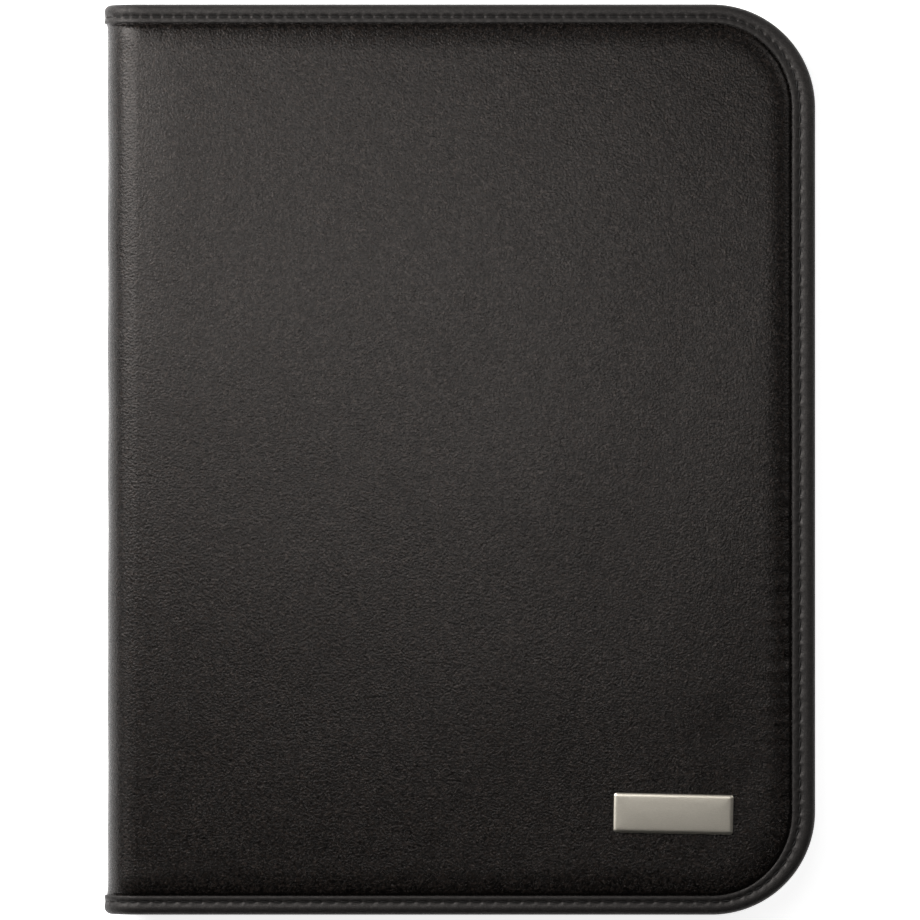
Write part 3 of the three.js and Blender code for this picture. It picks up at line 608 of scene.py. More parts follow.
def cloth_depth(front):
    """Depth of the cloth at each point of the net: shoulder, puckers, seam, fold, waves and dents."""
    x, y = net.T
    from_seam = net_inset - net_seam
    on_face = smooth(from_seam / FACE_FROM)
    depth = shoulder(net_inset, net_seam) + puckers(front)
    depth += SEAM_DIP * np.exp(-(from_seam / SEAM_DIP_WIDTH) ** 2)
    depth += FOLD_DROP * np.clip(1 - (x - FOLD_X) / FOLD_REACH, 0, 1) ** 2 * on_face
    for height, length, seed in WAVES:
        depth += height * MM * wavy(x, y, length, seed if front else seed + 1) * on_face
    for place_x, place_y, size, height in FRONT_DENTS if front else BACK_DENTS:
        away = np.hypot(x - place_x * MM, y - place_y * MM) / (size * MM)
        depth += height * MM * np.exp(-away ** 2) * on_face
    return np.maximum(depth, -PROUD if front else 0)


depths = {"back": cloth_depth(False), "front": cloth_depth(True)}
print("cloth depth in mm", [round(depth.max() / MM, 2) for depth in depths.values()])

# %% [markdown]
# The spine is half an oval between the two fold lines. Its rows of points start from the covers' own
# points there, so the cloth runs on without a step. It is pulled in a little between its two bound ends,
# which is the waist that the photograph shows on the left.

# %% Cloth over the covers and round the spine
TURNS = 37
turn_angle = np.radians(np.linspace(-90, -270, TURNS))


def whole_sheet(back_depth, front_depth, across, ripple):
    """Points of a sheet over both covers and the spine: the back net, the front net, then the spine."""
    back_depth, front_depth = (np.broadcast_to(depth, len(net)) for depth in (back_depth, front_depth))
    back = np.column_stack([net, back_depth])
    front = np.column_stack([net, THICK - front_depth])
    share = smooth(np.linspace(0, 1, TURNS))[None, 1:-1]
    up = MIDDLE - back_depth[fold_rows][:, None] * (1 - share) - front_depth[fold_rows][:, None] * share
    angle = turn_angle[None, 1:-1]
    y = net[fold_rows, 1][:, None] + 0 * angle
    wave = ripple * wavy(y, angle * 0.013, 0.03, 8) * np.sin(math.pi * np.linspace(0, 1, TURNS))[None, 1:-1]
    x, z = oval(angle, across[:, None] + wave, up)
    return np.concatenate([back, front, np.stack([x, y, z], -1).reshape(-1, 3)])


# %% Faces of the spine
spine_start = 2 * len(net)
columns = spine_start + np.arange(len(fold_rows) * (TURNS - 2)).reshape(len(fold_rows), TURNS - 2)
columns = np.column_stack([fold_rows, columns, len(net) + fold_rows])


def strip_faces(start, end):
    """Faces of the spine between two of its columns, facing out."""
    near, far = columns[:, start:end], columns[:, start + 1:end + 1]
    return np.stack([near[:-1], far[:-1], far[1:], near[1:]], -1).reshape(-1, 4).tolist()


THIRD = (TURNS - 1) // 3
back_part = [face[::-1] for face in net_faces] + strip_faces(0, THIRD)
middle_part = strip_faces(THIRD, 2 * THIRD)
front_part = [[corner + len(net) for corner in face] for face in net_faces]
front_part += strip_faces(2 * THIRD, TURNS - 1)


def vertex_normals(points, faces):
    """Normals of the whole sheet, so that pieces cut from it still look like one cloth."""
    normals = np.zeros_like(points)
    for count in (3, 4):
        some = np.array([face for face in faces if len(face) == count])
        first = points[some[:, 2]] - points[some[:, 0]]
        second = points[some[:, -1]] - points[some[:, 1]]
        across = np.cross(first, second)
        for corner in range(count):
            np.add.at(normals, some[:, corner], across)
    return normals / np.linalg.norm(normals, axis=1)[:, None]


print("faces", len(back_part), len(middle_part), len(front_part))

# %% Pieces cut from a sheet


def closed_between(shown, hidden, faces):
    """A closed mesh between two surfaces with the same points: its points, its faces and the points used."""
    used = np.unique(np.concatenate([np.asarray(face) for face in faces]))
    place = np.zeros(len(shown), int)
    place[used] = np.arange(len(used))
    top = [place[face].tolist() for face in faces]
    low = [[corner + len(used) for corner in face[::-1]] for face in top]
    open_edges = {}
    for face in top:
        for corner, after in zip(face, face[1:] + face[:1]):
            if open_edges.pop((after, corner), None) is None:
                open_edges[corner, after] = True
    rim = [[after, corner, corner + len(used), after + len(used)] for corner, after in open_edges]
    return np.concatenate([shown[used], hidden[used]]), top + low + rim, used


def layer_piece(name, faces, shown, hidden, normals, material):
    """A piece of a layer, shaded with the normals of the whole sheet that it is cut from."""
    points, closed_faces, used = closed_between(shown, hidden, faces)
    piece = make_piece(name, points, closed_faces, material, sharp=0)
    both = np.concatenate([normals[used], -normals[used]])
    piece.data.normals_split_custom_set_from_vertices(both.tolist())
    return piece


# %% Baking a piece's place into its mesh


def bend_with_spine(piece):
    """Bakes the piece's place into its mesh. It is not tied to the bodies of the spine."""
    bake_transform(piece)


# %% Outer cloth pieces
CLOTH_INNER = 3.4 * MM
fold_share = shoulder(net_inset[fold_rows], net_seam[fold_rows]) / SEAM_DEPTH


def spine_across(middle, ends):
    """Half width in mm of the spine of a layer: at mid length, and more at its two bound ends."""
    return (middle + (ends - middle) * fold_share) * MM


cloth_shown = whole_sheet(depths["back"], depths["front"], spine_across(12.85, 13.25), 0.12 * MM)
cloth_hidden = whole_sheet(CLOTH_INNER, CLOTH_INNER, spine_across(9.1, 12.3), 0)
cloth_normals = vertex_normals(cloth_shown, back_part + middle_part + front_part)

for part, faces in (("back", back_part), ("middle", middle_part), ("front", front_part)):
    cloth = layer_piece(f"{part}_cloth", faces, cloth_shown, cloth_hidden, cloth_normals, OUTER_CLOTH)
    bend_with_spine(cloth)
    print(cloth.name, "faces", len(cloth.data.polygons))
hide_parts("back_fabric", "back_foam", "spine_fabric_1", "spine_foam_1")
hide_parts("spine_fabric_2", "spine_foam_2", "spine_fabric_3",
            "spine_foam_3")
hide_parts("front_fabric", "front_foam", "spine_fabric_4", "spine_foam_4")

# %% [markdown]
# ## Lining
#
# Inside the folder a thin woven lining is glued to each board and runs on through the spine. It lies on
# the same net as the outer cloth, deeper, with shallow waves where the glue has let go.

# %% Lining pieces
LINING_SHOWN = 6.1 * MM
LINING_HIDDEN = 5.6 * MM
TURNED_IN = 7 * MM


def lining_cloth():
    finish = Finish("lining_cloth", (0.012, 0.012, 0.013), 0.6, Sheen_Weight=0.1, Sheen_Roughness=0.5)
    weave = finish.times(finish.ribs(0.45 * MM, "X"), finish.ribs(0.45 * MM, "Y"))
    patches = finish.noise(9 * MM, detail=3)
    finish.colours(finish.mixture(weave, 0.7, patches), (0.007, 0.007, 0.0078), (0.022, 0.022, 0.024))
    finish.roughness(patches, 0.52, 0.68)
    finish.bump(weave, 0.06 * MM)
    return finish.material


LINING_CLOTH = lining_cloth()
sag = 0.04 * MM * (1 + np.clip(wavy(net[:, 0], net[:, 1], 0.03, 21), -1, 1)) * smooth(net_inset / NET_REACH)
lining_shown = whole_sheet(LINING_SHOWN - sag, LINING_SHOWN - sag, spine_across(6.4, 9.1), 0.1 * MM)
lining_hidden = whole_sheet(LINING_HIDDEN, LINING_HIDDEN, spine_across(6.9, 9.6), 0)
inward = [[face[::-1] for face in faces] for faces in (back_part, middle_part, front_part)]
lining_normals = vertex_normals(lining_shown, inward[0] + inward[1] + inward[2])

COVER_FLAT = (EDGE_X - RIM - FOLD_X + TURNED_IN, 2 * (EDGE_Y - RIM))
MIDDLE_FLAT = (11 * MM, COVER_FLAT[1])
MIDDLE_AREA = 0.0025
LINING_PARTS = {"back": ("back_board", COVER_FLAT, None),
                "middle": ("middle_cloth", MIDDLE_FLAT, MIDDLE_AREA),
                "front": ("front_board", COVER_FLAT, None)}
for (part, (board, flat, area)), faces in zip(LINING_PARTS.items(), inward):
    lining = layer_piece(f"{part}_lining_cloth", faces, lining_shown, lining_hidden, lining_normals,
                         LINING_CLOTH)
    bend_with_spine(lining)
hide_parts("back_lining", "spine_lining_1")
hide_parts("spine_lining_2", "spine_lining_3")
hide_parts("front_lining", "spine_lining_4")
print("lining cut to", [round(size, 3) for size in COVER_FLAT])

# %% [markdown]
# ## Binding
#
# A folded tape wraps the raw edges of all the layers. The seam that holds it pulls a groove into it: a
# round bulge is left outside the groove and a narrow strip inside it. Along each thread the groove is deep
# and wanders a little outwards and the strip puffs up; at the needle holes it is shallow. That gives the
# row of scallops in the photograph. The tape is swept along the edge from a profile of insets and levels;
# the two end pieces of the same profile go round the spine.

# %% Stations of the binding
GROOVE_SHARE = 0.675
BINDING_FACE = 1.7 * MM
BINDING_TALL = 6.0 * MM
SIDE_PITCH = 5.0 * MM
HEAD_PITCH = 4.2 * MM
FIRST_HOLE = 0.3
BINDING_STEP = 0.6 * MM
STRIP_LENGTH = 14 * MM * math.pi / 3


def binding_path(part):
    """Stations of one piece: edge point, way out and spine angle, which is nothing on the cover."""
    arc = np.linspace(0, 60, round(STRIP_LENGTH / BINDING_STEP) + 1)
    (foot, foot_way), (head, head_way) = [
        [np.tile(at, (len(arc), 1)) for at in ((FOLD_X, side * EDGE_Y), (0.0, side))] for side in (-1, 1)]
    if part == "foot":
        return foot, foot_way, -150 - arc
    if part == "head":
        return head, head_way, -150 - arc
    near, far = (-90, -150) if part == "back" else (-270, -210)
    turned = near + (far - near) * arc / 60
    flat_edge, flat_out, _ = (values[1:-1] for values in edge_line(BINDING_STEP))
    angle = np.concatenate([turned[::-1], np.full(len(flat_edge), np.nan), turned])
    return np.concatenate([foot, flat_edge, head]), np.concatenate([foot_way, flat_out, head_way]), angle


def place_on_edge(part, edge_point, way, angle, inset, level):
    """Points of a profile in space. All inputs have a row for each station."""
    flat = edge_point[:, None] - inset[..., None] * way[:, None]
    z = BINDING_FACE + level
    if part == "front":
        z = THICK - z
    points = np.dstack([flat, z])
    for row in np.flatnonzero(~np.isnan(angle)):
        x, up = oval(math.radians(angle[row]), MIDDLE - level[row], MIDDLE - BINDING_FACE - level[row])
        points[row, :, 0] = x
        points[row, :, 2] = up
    return points


def stitch_phase(edge_point, way):
    """Counts stitches along the path. The head has them a little closer together."""
    step = np.linalg.norm(np.diff(edge_point, axis=0), axis=1)
    step[step < 1e-6] = BINDING_STEP
    pitch = SIDE_PITCH + (HEAD_PITCH - SIDE_PITCH) * np.clip(way[:, 1], 0, 1) ** 2
    return np.concatenate([[0], np.cumsum(step / (0.5 * (pitch[1:] + pitch[:-1])))]) + FIRST_HOLE


# %% [markdown]
# The profile is half of the tape, from the inner edge of its strip over the groove and the bulge to the
# middle of the edge. It is mirrored for the leg inside the folder, and the tape's hidden face joins them.

# %% Profile of the binding
GROOVE_WANDER = 0.12 * MM
STRIP_PUFF = 0.13 * MM
GROOVE_DEEPENS = 0.8
HOLE_LIFT = 0.6


def half_profile(width, groove, puff, dip):
    """Insets and levels from the strip's inner edge to mid height, one row for each station."""
    strip = width - groove
    inset = [width, width, width - 0.12 * MM, width - 0.4 * MM, groove + 0.62 * strip, groove + 0.36 * strip,
             groove + 0.15 * strip, groove, 0.94 * groove, 0.84 * groove, 0.7 * groove, 0.52 * groove,
             0.34 * groove, 0.18 * groove, 0.07 * groove, 0 * groove, 0 * groove]
    level = [0.85, 0.35, 0.08, 0, -0.01, 0.1, 0.36, 0.62, 0.46, 0.16, -0.06, -0.1, 0.06, 0.48, 1.12, 2, 3]
    raised = [0, 0, 0.2, 0.6, 1, 0.9, 0.4, 0, 0, 0, 0, 0, 0, 0, 0, 0, 0]
    sunk = [0, 0, 0, 0, 0, 0.1, 0.6, 1, 0.7, 0.2, 0, 0, 0, 0, 0, 0, 0]
    levels = np.array(level)[None] * MM - np.outer(puff, raised) + np.outer(dip, sunk)
    return np.stack(inset, -1), levels


def binding_tube(part):
    """Loops of one piece of binding, and its path with the count of stitches."""
    edge_point, way, angle = binding_path(part)
    phase = stitch_phase(edge_point, way)
    between = np.abs(np.sin(math.pi * phase))
    width = binding_width(way)
    groove = GROOVE_SHARE * width - GROOVE_WANDER * between
    dip = (GROOVE_DEEPENS * between ** 0.6 - HOLE_LIFT) * MM
    inset, level = half_profile(width, groove, STRIP_PUFF * between ** 2, dip)
    deep, middle, shallow = 0.9 * width, 0.4 * width + 0.5 * MM, np.full(len(width), 1.0 * MM)
    cavity_inset = np.stack([deep, middle, shallow, shallow, middle, deep], -1)
    cavity_level = np.tile(np.array([0.85, 0.85, 1.6, 4.4, 5.15, 5.15]) * MM, (len(width), 1))
    inset = np.concatenate([inset, inset[:, -2::-1], cavity_inset[:, ::-1]], 1)
    level = np.concatenate([level, BINDING_TALL - level[:, -2::-1], cavity_level[:, ::-1]], 1)
    return place_on_edge(part, edge_point, way, angle, inset, level), (edge_point, way, angle, phase)


BINDING_NODES = {
    "back": ["back_binding", "spine_foot_binding_1", "spine_head_binding_1"],
    "front": ["front_binding", "spine_foot_binding_4", "spine_head_binding_4"],
    "foot": ["spine_foot_binding_2", "spine_foot_binding_3"],
    "head": ["spine_head_binding_2", "spine_head_binding_3"],
}
paths = {}
for part, replaced in BINDING_NODES.items():
    loops, paths[part] = binding_tube(part)
    points, faces = tube(loops)
    binding = make_piece(f"{part}_edge_binding", points, faces, BINDING_TAPE, sharp=60)
    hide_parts(*replaced)
    bend_with_spine(binding)
    print(binding.name, "stations", len(loops))

# %% [markdown]
# The black thread lies in the groove, a little aslant, and dips into the tape at each hole. Each stitch is
# a capsule of thread from hole to hole, on both legs of the binding. There is one piece of them for each
# piece of binding.

# %% Stitches of the binding
STITCH_THICK = 0.62 * MM
STITCH_LEVEL = 0.55 * MM
STITCH_START = (0.17, 0.16 * MM)
STITCH_END = (0.83, -0.26 * MM)
CAPSULE_RINGS = [(0, 0.35), (0.08, 0.75), (0.3, 1), (0.7, 1), (0.92, 0.75), (1, 0.35)]
CAPSULE_TURNS = np.linspace(0, 2 * math.pi, 9)[:-1]


def capsules(starts, ends, ups, thick):
    """Rounded threads from each start to each end, flattened a little along the way up."""
    starts, ends, ups = (np.asarray(values, float) for values in (starts, ends, ups))
    along = ends - starts
    length = np.linalg.norm(along, axis=1, keepdims=True)
    along = along / length
    side = np.cross(ups, along)
    side /= np.linalg.norm(side, axis=1, keepdims=True)
    up = np.cross(along, side)
    loops = []
    for share, radius in CAPSULE_RINGS:
        middle = starts + along * length * share
        ring = [middle + radius * thick / 2 * (math.cos(turn) * side + 0.85 * math.sin(turn) * up)
                for turn in CAPSULE_TURNS]
        loops.append(np.stack(ring, 1))
    return many_tubes(np.stack(loops, 1))


# %% Stitches laid in the groove


def thread_place(part, phases, slant, level):
    """Places on one leg of the binding's groove, at the given counts of stitches along it."""
    edge_point, way, angle, phase = paths[part]
    columns_there = [np.interp(phases, phase, column) for column in (*edge_point.T, *way.T, angle)]
    at_edge, at_way = np.stack(columns_there[:2], -1), np.stack(columns_there[2:4], -1)
    inset = (GROOVE_SHARE * binding_width(at_way) + slant)[:, None]
    return place_on_edge(part, at_edge, at_way, columns_there[4], inset, np.full(inset.shape, level))[:, 0]


def stitch_ends(part, level, lift):
    """Starts and ends of the stitches on one leg of the binding, and their way up."""
    phase = paths[part][3]
    count = np.arange(math.ceil(phase[0]), math.floor(phase[-1]))
    (start, start_slant), (end, end_slant) = STITCH_START, STITCH_END
    starts = thread_place(part, count + start, start_slant, level)
    ends = thread_place(part, count + end, end_slant, level)
    return starts, ends, thread_place(part, count + start, start_slant, level + lift) - starts


LEGS = ((STITCH_LEVEL, -0.1 * MM), (BINDING_TALL - STITCH_LEVEL, 0.1 * MM))
for part in BINDING_NODES:
    points, faces = merged([capsules(*stitch_ends(part, level, lift), STITCH_THICK) for level, lift in LEGS])
    thread = make_piece(f"{part}_edge_stitches", points, faces, SEWING_THREAD, sharp=0)
    bend_with_spine(thread)
    print(thread.name, "stitches", len(points) // (len(CAPSULE_RINGS) * len(CAPSULE_TURNS)))

# %% [markdown]
# ## Zipper
#
# Each cover has its own half of the zipper: a tape that is sewn in under the binding and stands up at the
# edge, with a cord and moulded teeth on it. The halves mirror each other, and the front half is set off
# by half a pitch, so that its teeth lie between those of the back half.

# %% Zipper tape
CHAIN_INSET = 8.1 * MM
zipper_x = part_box("back_zipper_tape")[0].x


def zipper_cloth():
    finish = Finish("zipper_cloth", (0.01, 0.01, 0.011), 0.62, Sheen_Weight=0.08)
    slant = finish.ribs(0.7 * MM, "X", finish.stretched((1, 1, 1), math.radians(40)))
    rows = finish.ribs(0.6 * MM, "Z")
    weave = finish.mixture(slant, 0.6, rows)
    finish.colours(weave, (0.006, 0.006, 0.007), (0.018, 0.018, 0.02))
    finish.roughness(rows, 0.55, 0.7)
    finish.bump(weave, 0.08 * MM)
    return finish.material


def moulded_plastic():
    finish = Finish("moulded_plastic", (0.012, 0.012, 0.013), 0.34)
    mottle = finish.noise(0.6 * MM)
    finish.colours(mottle, (0.009, 0.009, 0.01), (0.017, 0.017, 0.018))
    finish.roughness(mottle, 0.28, 0.42)
    finish.bump(mottle, 0.012 * MM)
    return finish.material


ZIPPER_CLOTH = zipper_cloth()
MOULDED_PLASTIC = moulded_plastic()
zip_edge, zip_out, zip_run = edge_line(1.2 * MM, zipper_x)


# %% Tape swept along the edge


def swept_on_edge(profile, part):
    """A closed profile of insets and depths in mm, swept along the zipper's path on one cover."""
    profile = np.array(profile) * MM
    flat = zip_edge[:, None] - profile[None, :, 0, None] * zip_out[:, None]
    z = np.tile(profile[:, 1], (len(flat), 1))
    return tube(np.dstack([flat, THICK - z if part == "front" else z]))


TAPE_PROFILE = [(2.4, 6.2), (5, 6.2), (7.2, 6.2), (7.9, 6.33), (8.28, 6.7), (8.4, 7.3), (8.4, 9),
                (8.4, 11.15), (8.3, 11.25), (7.9, 11.25), (7.8, 11.15), (7.8, 9), (7.8, 7.4), (7.68, 6.98),
                (7.3, 6.8), (5, 6.8), (2.4, 6.8)]
for part in ("back", "front"):
    points, faces = swept_on_edge(TAPE_PROFILE, part)
    tape = make_piece(f"{part}_tape_cloth", points, faces, ZIPPER_CLOTH, sharp=60)
    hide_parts(f"{part}_zipper_tape")
    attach(tape, f"{part}_cover")
    print(tape.name, "run", round(zip_run[-1], 3), "m")

# %% [markdown]
# A tooth is moulded round the cord: a foot as wide as the cord, a waist, and a rounded head a little
# wider than the waist. Sections at several levels give that shape, and every tooth is the same.

# %% Zipper teeth
TOOTH_PITCH = 4 * MM
FIRST_TOOTH = 11.225 * MM
LAST_GAP = 6.1 * MM
TOOTH_SECTIONS = [(12.2, 0.85, 1.1), (12.75, 0.85, 1.1), (12.95, 0.72, 1.0), (13.6, 0.6, 0.92),
                  (14.15, 0.62, 0.95), (14.45, 0.65, 1.0), (14.7, 0.6, 0.92), (14.85, 0.45, 0.75),
                  (14.9, 0.2, 0.4)]
TOOTH_TURNS = np.linspace(0, 2 * math.pi, 13)[:-1]
CORD_LEVEL = 12.05
CORD_ROUND = [(1.2, 0.2), (1.2, -0.2), (0.95, -0.52), (0.6, -0.65), (-0.6, -0.65), (-0.95, -0.52),
              (-1.2, -0.2), (-1.2, 0.2), (-0.95, 0.52), (-0.6, 0.65), (0.6, 0.65), (0.95, 0.52)]


def squared(value):
    """Bends a sine or cosine so that its circle becomes a square with round corners."""
    return np.sign(value) * abs(value) ** 0.6


def teeth(shift, part):
    """All teeth of one half, as one mesh."""
    path = zip_edge - CHAIN_INSET * zip_out
    steps = distance_run(path)
    distance = np.arange(FIRST_TOOTH + shift * TOOTH_PITCH, steps[-1] - LAST_GAP, TOOTH_PITCH)
    x, y, way_x, way_y = (np.interp(distance, steps, column) for column in (*path.T, *zip_out.T))
    way = np.stack([way_x, way_y], -1)
    way /= np.linalg.norm(way, axis=1, keepdims=True)
    along = np.stack([-way[:, 1], way[:, 0]], -1)
    loops = []
    for level, length, breadth in TOOTH_SECTIONS:
        for turn in TOOTH_TURNS:
            ahead = length * MM * squared(math.cos(turn))
            aside = breadth * MM * squared(math.sin(turn))
            flat = np.stack([x, y], -1) + ahead * along + aside * way
            z = np.full(len(x), level * MM)
            loops.append(np.column_stack([flat, THICK - z if part == "front" else z]))
    return many_tubes(np.stack(loops, 1).reshape(len(x), len(TOOTH_SECTIONS), len(TOOTH_TURNS), 3))


for part, shift in (("back", 0), ("front", 0.5)):
    cord = swept_on_edge([(CHAIN_INSET / MM + aside, CORD_LEVEL + up) for aside, up in CORD_ROUND], part)
    points, faces = merged([cord, teeth(shift, part)])
    chain = make_piece(f"{part}_teeth", points, faces, MOULDED_PLASTIC, sharp=55)
    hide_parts(f"{part}_zipper_chain")
    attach(chain, f"{part}_cover")
    print(chain.name, "faces", len(faces))

# %% [markdown]
# Slider, puller and stops are small castings. Their solids have the right shape already, so they keep it
# and only get what a casting has: softly broken edges, from a Bevel modifier, and a satin metal with the
# fine marks of tumbling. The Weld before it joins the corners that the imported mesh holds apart.

# %% Metal of the zipper


def satin_metal(name, colour, roughness, grain):
    finish = Finish(name, colour, roughness, Metallic=1)
    marks = finish.noise(0.5 * MM, detail=3, vector=finish.stretched(grain))
    finish.colours(marks, tuple(0.86 * part for part in colour), tuple(1.1 * part for part in colour))
    finish.roughness(marks, roughness - 0.06, roughness + 0.08)
    finish.bump(marks, 0.01 * MM)
    return finish.material


def soften(node, width, material):
    """Gives a solid broken edges and a finish, without changing its mesh."""
    solid = nodes[node]
    weld = solid.modifiers.new("weld", "WELD")
    weld.merge_threshold = 0.002 * MM
    bevel = solid.modifiers.new("bevel", "BEVEL")
    bevel.width = width
    bevel.segments = 3
    bevel.limit_method = "ANGLE"
    bevel.angle_limit = math.radians(30)
    bevel.harden_normals = True
    for slot in solid.material_slots:
        slot.material = material


ZIPPER_METAL = satin_metal("zipper_metal", (0.62, 0.6, 0.56), 0.34, (1, 1, 1))
BEVELS = {"slider": 0.25, "puller": 0.3, "back_zipper_stop": 0.12, "front_zipper_stop": 0.12,
          "zipper_end_stop": 0.12}
for node, width in BEVELS.items():
    soften(node, width * MM, ZIPPER_METAL)

# %% [markdown]
# ## Inside of the back cover
#
# A writing pad stands in a cloth sleeve. Its paper is a block of loose sheets whose edges never line up
# exactly, so the block is made of thin sheets with small random steps, which shows as fine lines on its
# sides. The backing board and the two boards in the covers are grey cardboard.

# %% Paper and cardboard
SHEETS = 24
LEAF_SLIP = 0.22 * MM
LEAF_SHARE = 0.9


def writing_paper():
    finish = Finish("writing_paper", (0.86, 0.84, 0.78), 0.8)
    fibres = finish.noise(0.8 * MM, detail=4, vector=finish.stretched((1, 2.5, 1), 0.4))
    cloudy = finish.noise(14 * MM)
    finish.colours(finish.mixture(fibres, 0.6, cloudy), (0.8, 0.78, 0.71), (0.9, 0.885, 0.83))
    finish.roughness(fibres, 0.74, 0.88)
    finish.bump(fibres, 0.015 * MM)
    return finish.material


def grey_cardboard():
    finish = Finish("grey_cardboard", (0.27, 0.21, 0.13), 0.85)
    flecks = finish.noise(1.1 * MM, detail=5)
    finish.colours(finish.ranged(flecks, 0, 1, 0.3, 0.7), (0.2, 0.155, 0.095), (0.34, 0.27, 0.18))
    finish.roughness(flecks, 0.78, 0.92)
    finish.bump(flecks, 0.04 * MM)
    return finish.material


PAPER = writing_paper()
CARDBOARD = grey_cardboard()
for node in ("back_board", "front_board", "pad_backing_board"):
    for slot in nodes[node].material_slots:
        slot.material = CARDBOARD


# %% Sheets of paper


def slab(low, high, corner=0):
    """Points and faces of a thin plate, with its upright corners cut by a small distance."""
    x0, y0, z0 = low
    x1, y1, z1 = high
    outline = [(x0 + corner, y0), (x1 - corner, y0), (x1, y0 + corner), (x1, y1 - corner), (x1 - corner, y1),
               (x0 + corner, y1), (x0, y1 - corner), (x0, y0 + corner)]
    return tube(np.array([[(x, y, z) for x, y in outline] for z in (z0, z1)]))


paper_low, paper_high = (np.array(corner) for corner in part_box("pad_paper"))
draw = np.random.default_rng(31)
leaf = (paper_high[2] - paper_low[2]) / SHEETS
leaves = []
for at in range(SHEETS):
    step = draw.uniform(0, LEAF_SLIP, 4)
    base = paper_low[2] + at * leaf
    leaves.append(slab((paper_low[0] + step[0], paper_low[1] + step[1], base),
                       (paper_high[0] - step[2], paper_high[1] - step[3], base + LEAF_SHARE * leaf), 0.3 * MM))
points, faces = merged(leaves)
paper = make_piece("paper_sheets", points, faces, PAPER, sharp=30)
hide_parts("pad_paper")
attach(paper, "back_cover")
print("paper sheets", SHEETS, "of", round(leaf / MM, 2), "mm")

# %% [markdown]
# The pockets, the sleeve and the window's frame are all panels of lining cloth: a folded edge all round,
# a wider hem along the open side, and a row of stitches inside the sewn edges. One helper makes such a
# panel on a grid that is fine at its rim, where the fold rounds off, and coarse in the middle.

# %% Sewn panels
FOLD_ROUND = 0.5 * MM
HEM_STEP = 0.1 * MM
EDGE_DROP = 0.7


def rim_stations(low, high, hem_low, hem_high):
    """Positions across a panel, close together at its folded edges and at the step of a hem."""
    near = np.array([0, 0.06, 0.16, 0.32, 0.5, 0.8]) * MM
    inner = np.arange(low + 3 * MM, high - 3 * MM, 5 * MM)
    steps = [at + side * 0.3 * MM for at in (low + hem_low, high - hem_high) for side in (-1, 1)]
    return np.unique(np.round(np.concatenate([low + near, inner, steps, high - near]), 6))


def sewn_panel(low, high, under, over, hems=(3, 3, 3, 8), seed=1, hole=None):
    """Closed mesh of a panel in a cover's plane, with folded widths in mm: left, right, foot, head."""
    left, right, foot, head = (width * MM for width in hems)
    x = rim_stations(low[0], high[0], left, right)
    y = rim_stations(low[1], high[1], foot, head)
    grid_x, grid_y = np.meshgrid(x, y, indexing="ij")
    away = np.minimum.reduce([grid_x - low[0], high[0] - grid_x, grid_y - low[1], high[1] - grid_y])
    on_hem = np.maximum.reduce([grid_x - low[0] < left, high[0] - grid_x < right, grid_y - low[1] < foot,
                                high[1] - grid_y < head]).astype(float)
    fall = 1 - np.sqrt(1 - (1 - np.clip(away / FOLD_ROUND, 0, 1)) ** 2)
    loose = 0.04 * MM * (1 + np.clip(wavy(grid_x, grid_y, 0.03, seed), -1, 1)) * smooth(away / (12 * MM))
    level = over - (1 - on_hem) * HEM_STEP - loose - EDGE_DROP * (over - under) * fall
    top = np.stack([grid_x, grid_y, level], -1).reshape(-1, 3)
    flat = top.copy()
    flat[:, 2] = under
    rows, columns = grid_x.shape
    faces = grid_faces(rows, columns)[:, ::-1]
    if hole:
        middle = top[faces].mean(1)
        within = np.all((middle[:, :2] > hole[0]) & (middle[:, :2] < hole[1]), axis=1)
        faces = faces[~within]
    return closed_between(top, flat, faces.tolist())[:2]


# %% Running stitches and pieces of the front cover


def running_stitches(corners, level, pitch=3.4 * MM, length=2.5 * MM, thick=0.34 * MM):
    """Stitches along lines between corners, lying on a level."""
    starts, ends = [], []
    for (x0, y0), (x1, y1) in zip(corners, corners[1:]):
        span = math.hypot(x1 - x0, y1 - y0)
        count = max(1, round(span / pitch))
        way = np.array([x1 - x0, y1 - y0]) / span
        for at in range(count):
            middle = np.array([x0, y0]) + way * span * (at + 0.5) / count
            starts.append([*(middle - way * length / 2), level])
            ends.append([*(middle + way * length / 2), level])
    return capsules(starts, ends, np.tile([0, 0, 1.0], (len(starts), 1)), thick)


def mirrored(points):
    """From the back cover's side to the front cover's."""
    turned = np.array(points)
    turned[:, 2] = THICK - turned[:, 2]
    return turned


def front_piece(name, points, faces, material, slot, sharp=40):
    """A piece of the front cover from a mesh that was drawn on the back cover's side."""
    piece = make_piece(name, mirrored(points), [face[::-1] for face in faces], material, sharp)
    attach(piece, "front_cover")
    return piece


# %% Sleeve of the pad
SLEEVE_TOP = 7.8 * MM
SEAM_INSET = 0.75 * MM
RIM_INSETS = np.array([0, 0.05, 0.2, 0.45, 0.8, 1.15, 1.22, 1.6]) * MM
RIM_LEVELS = np.array([6.3, 6.8, 7.3, 7.6, 7.75, 7.8, 7.8, 7.8]) * MM
UNDER_LEVELS = np.array([6.2, 6.2, 6.2, 6.2, 6.2, 6.2, 7.3, 7.3]) * MM

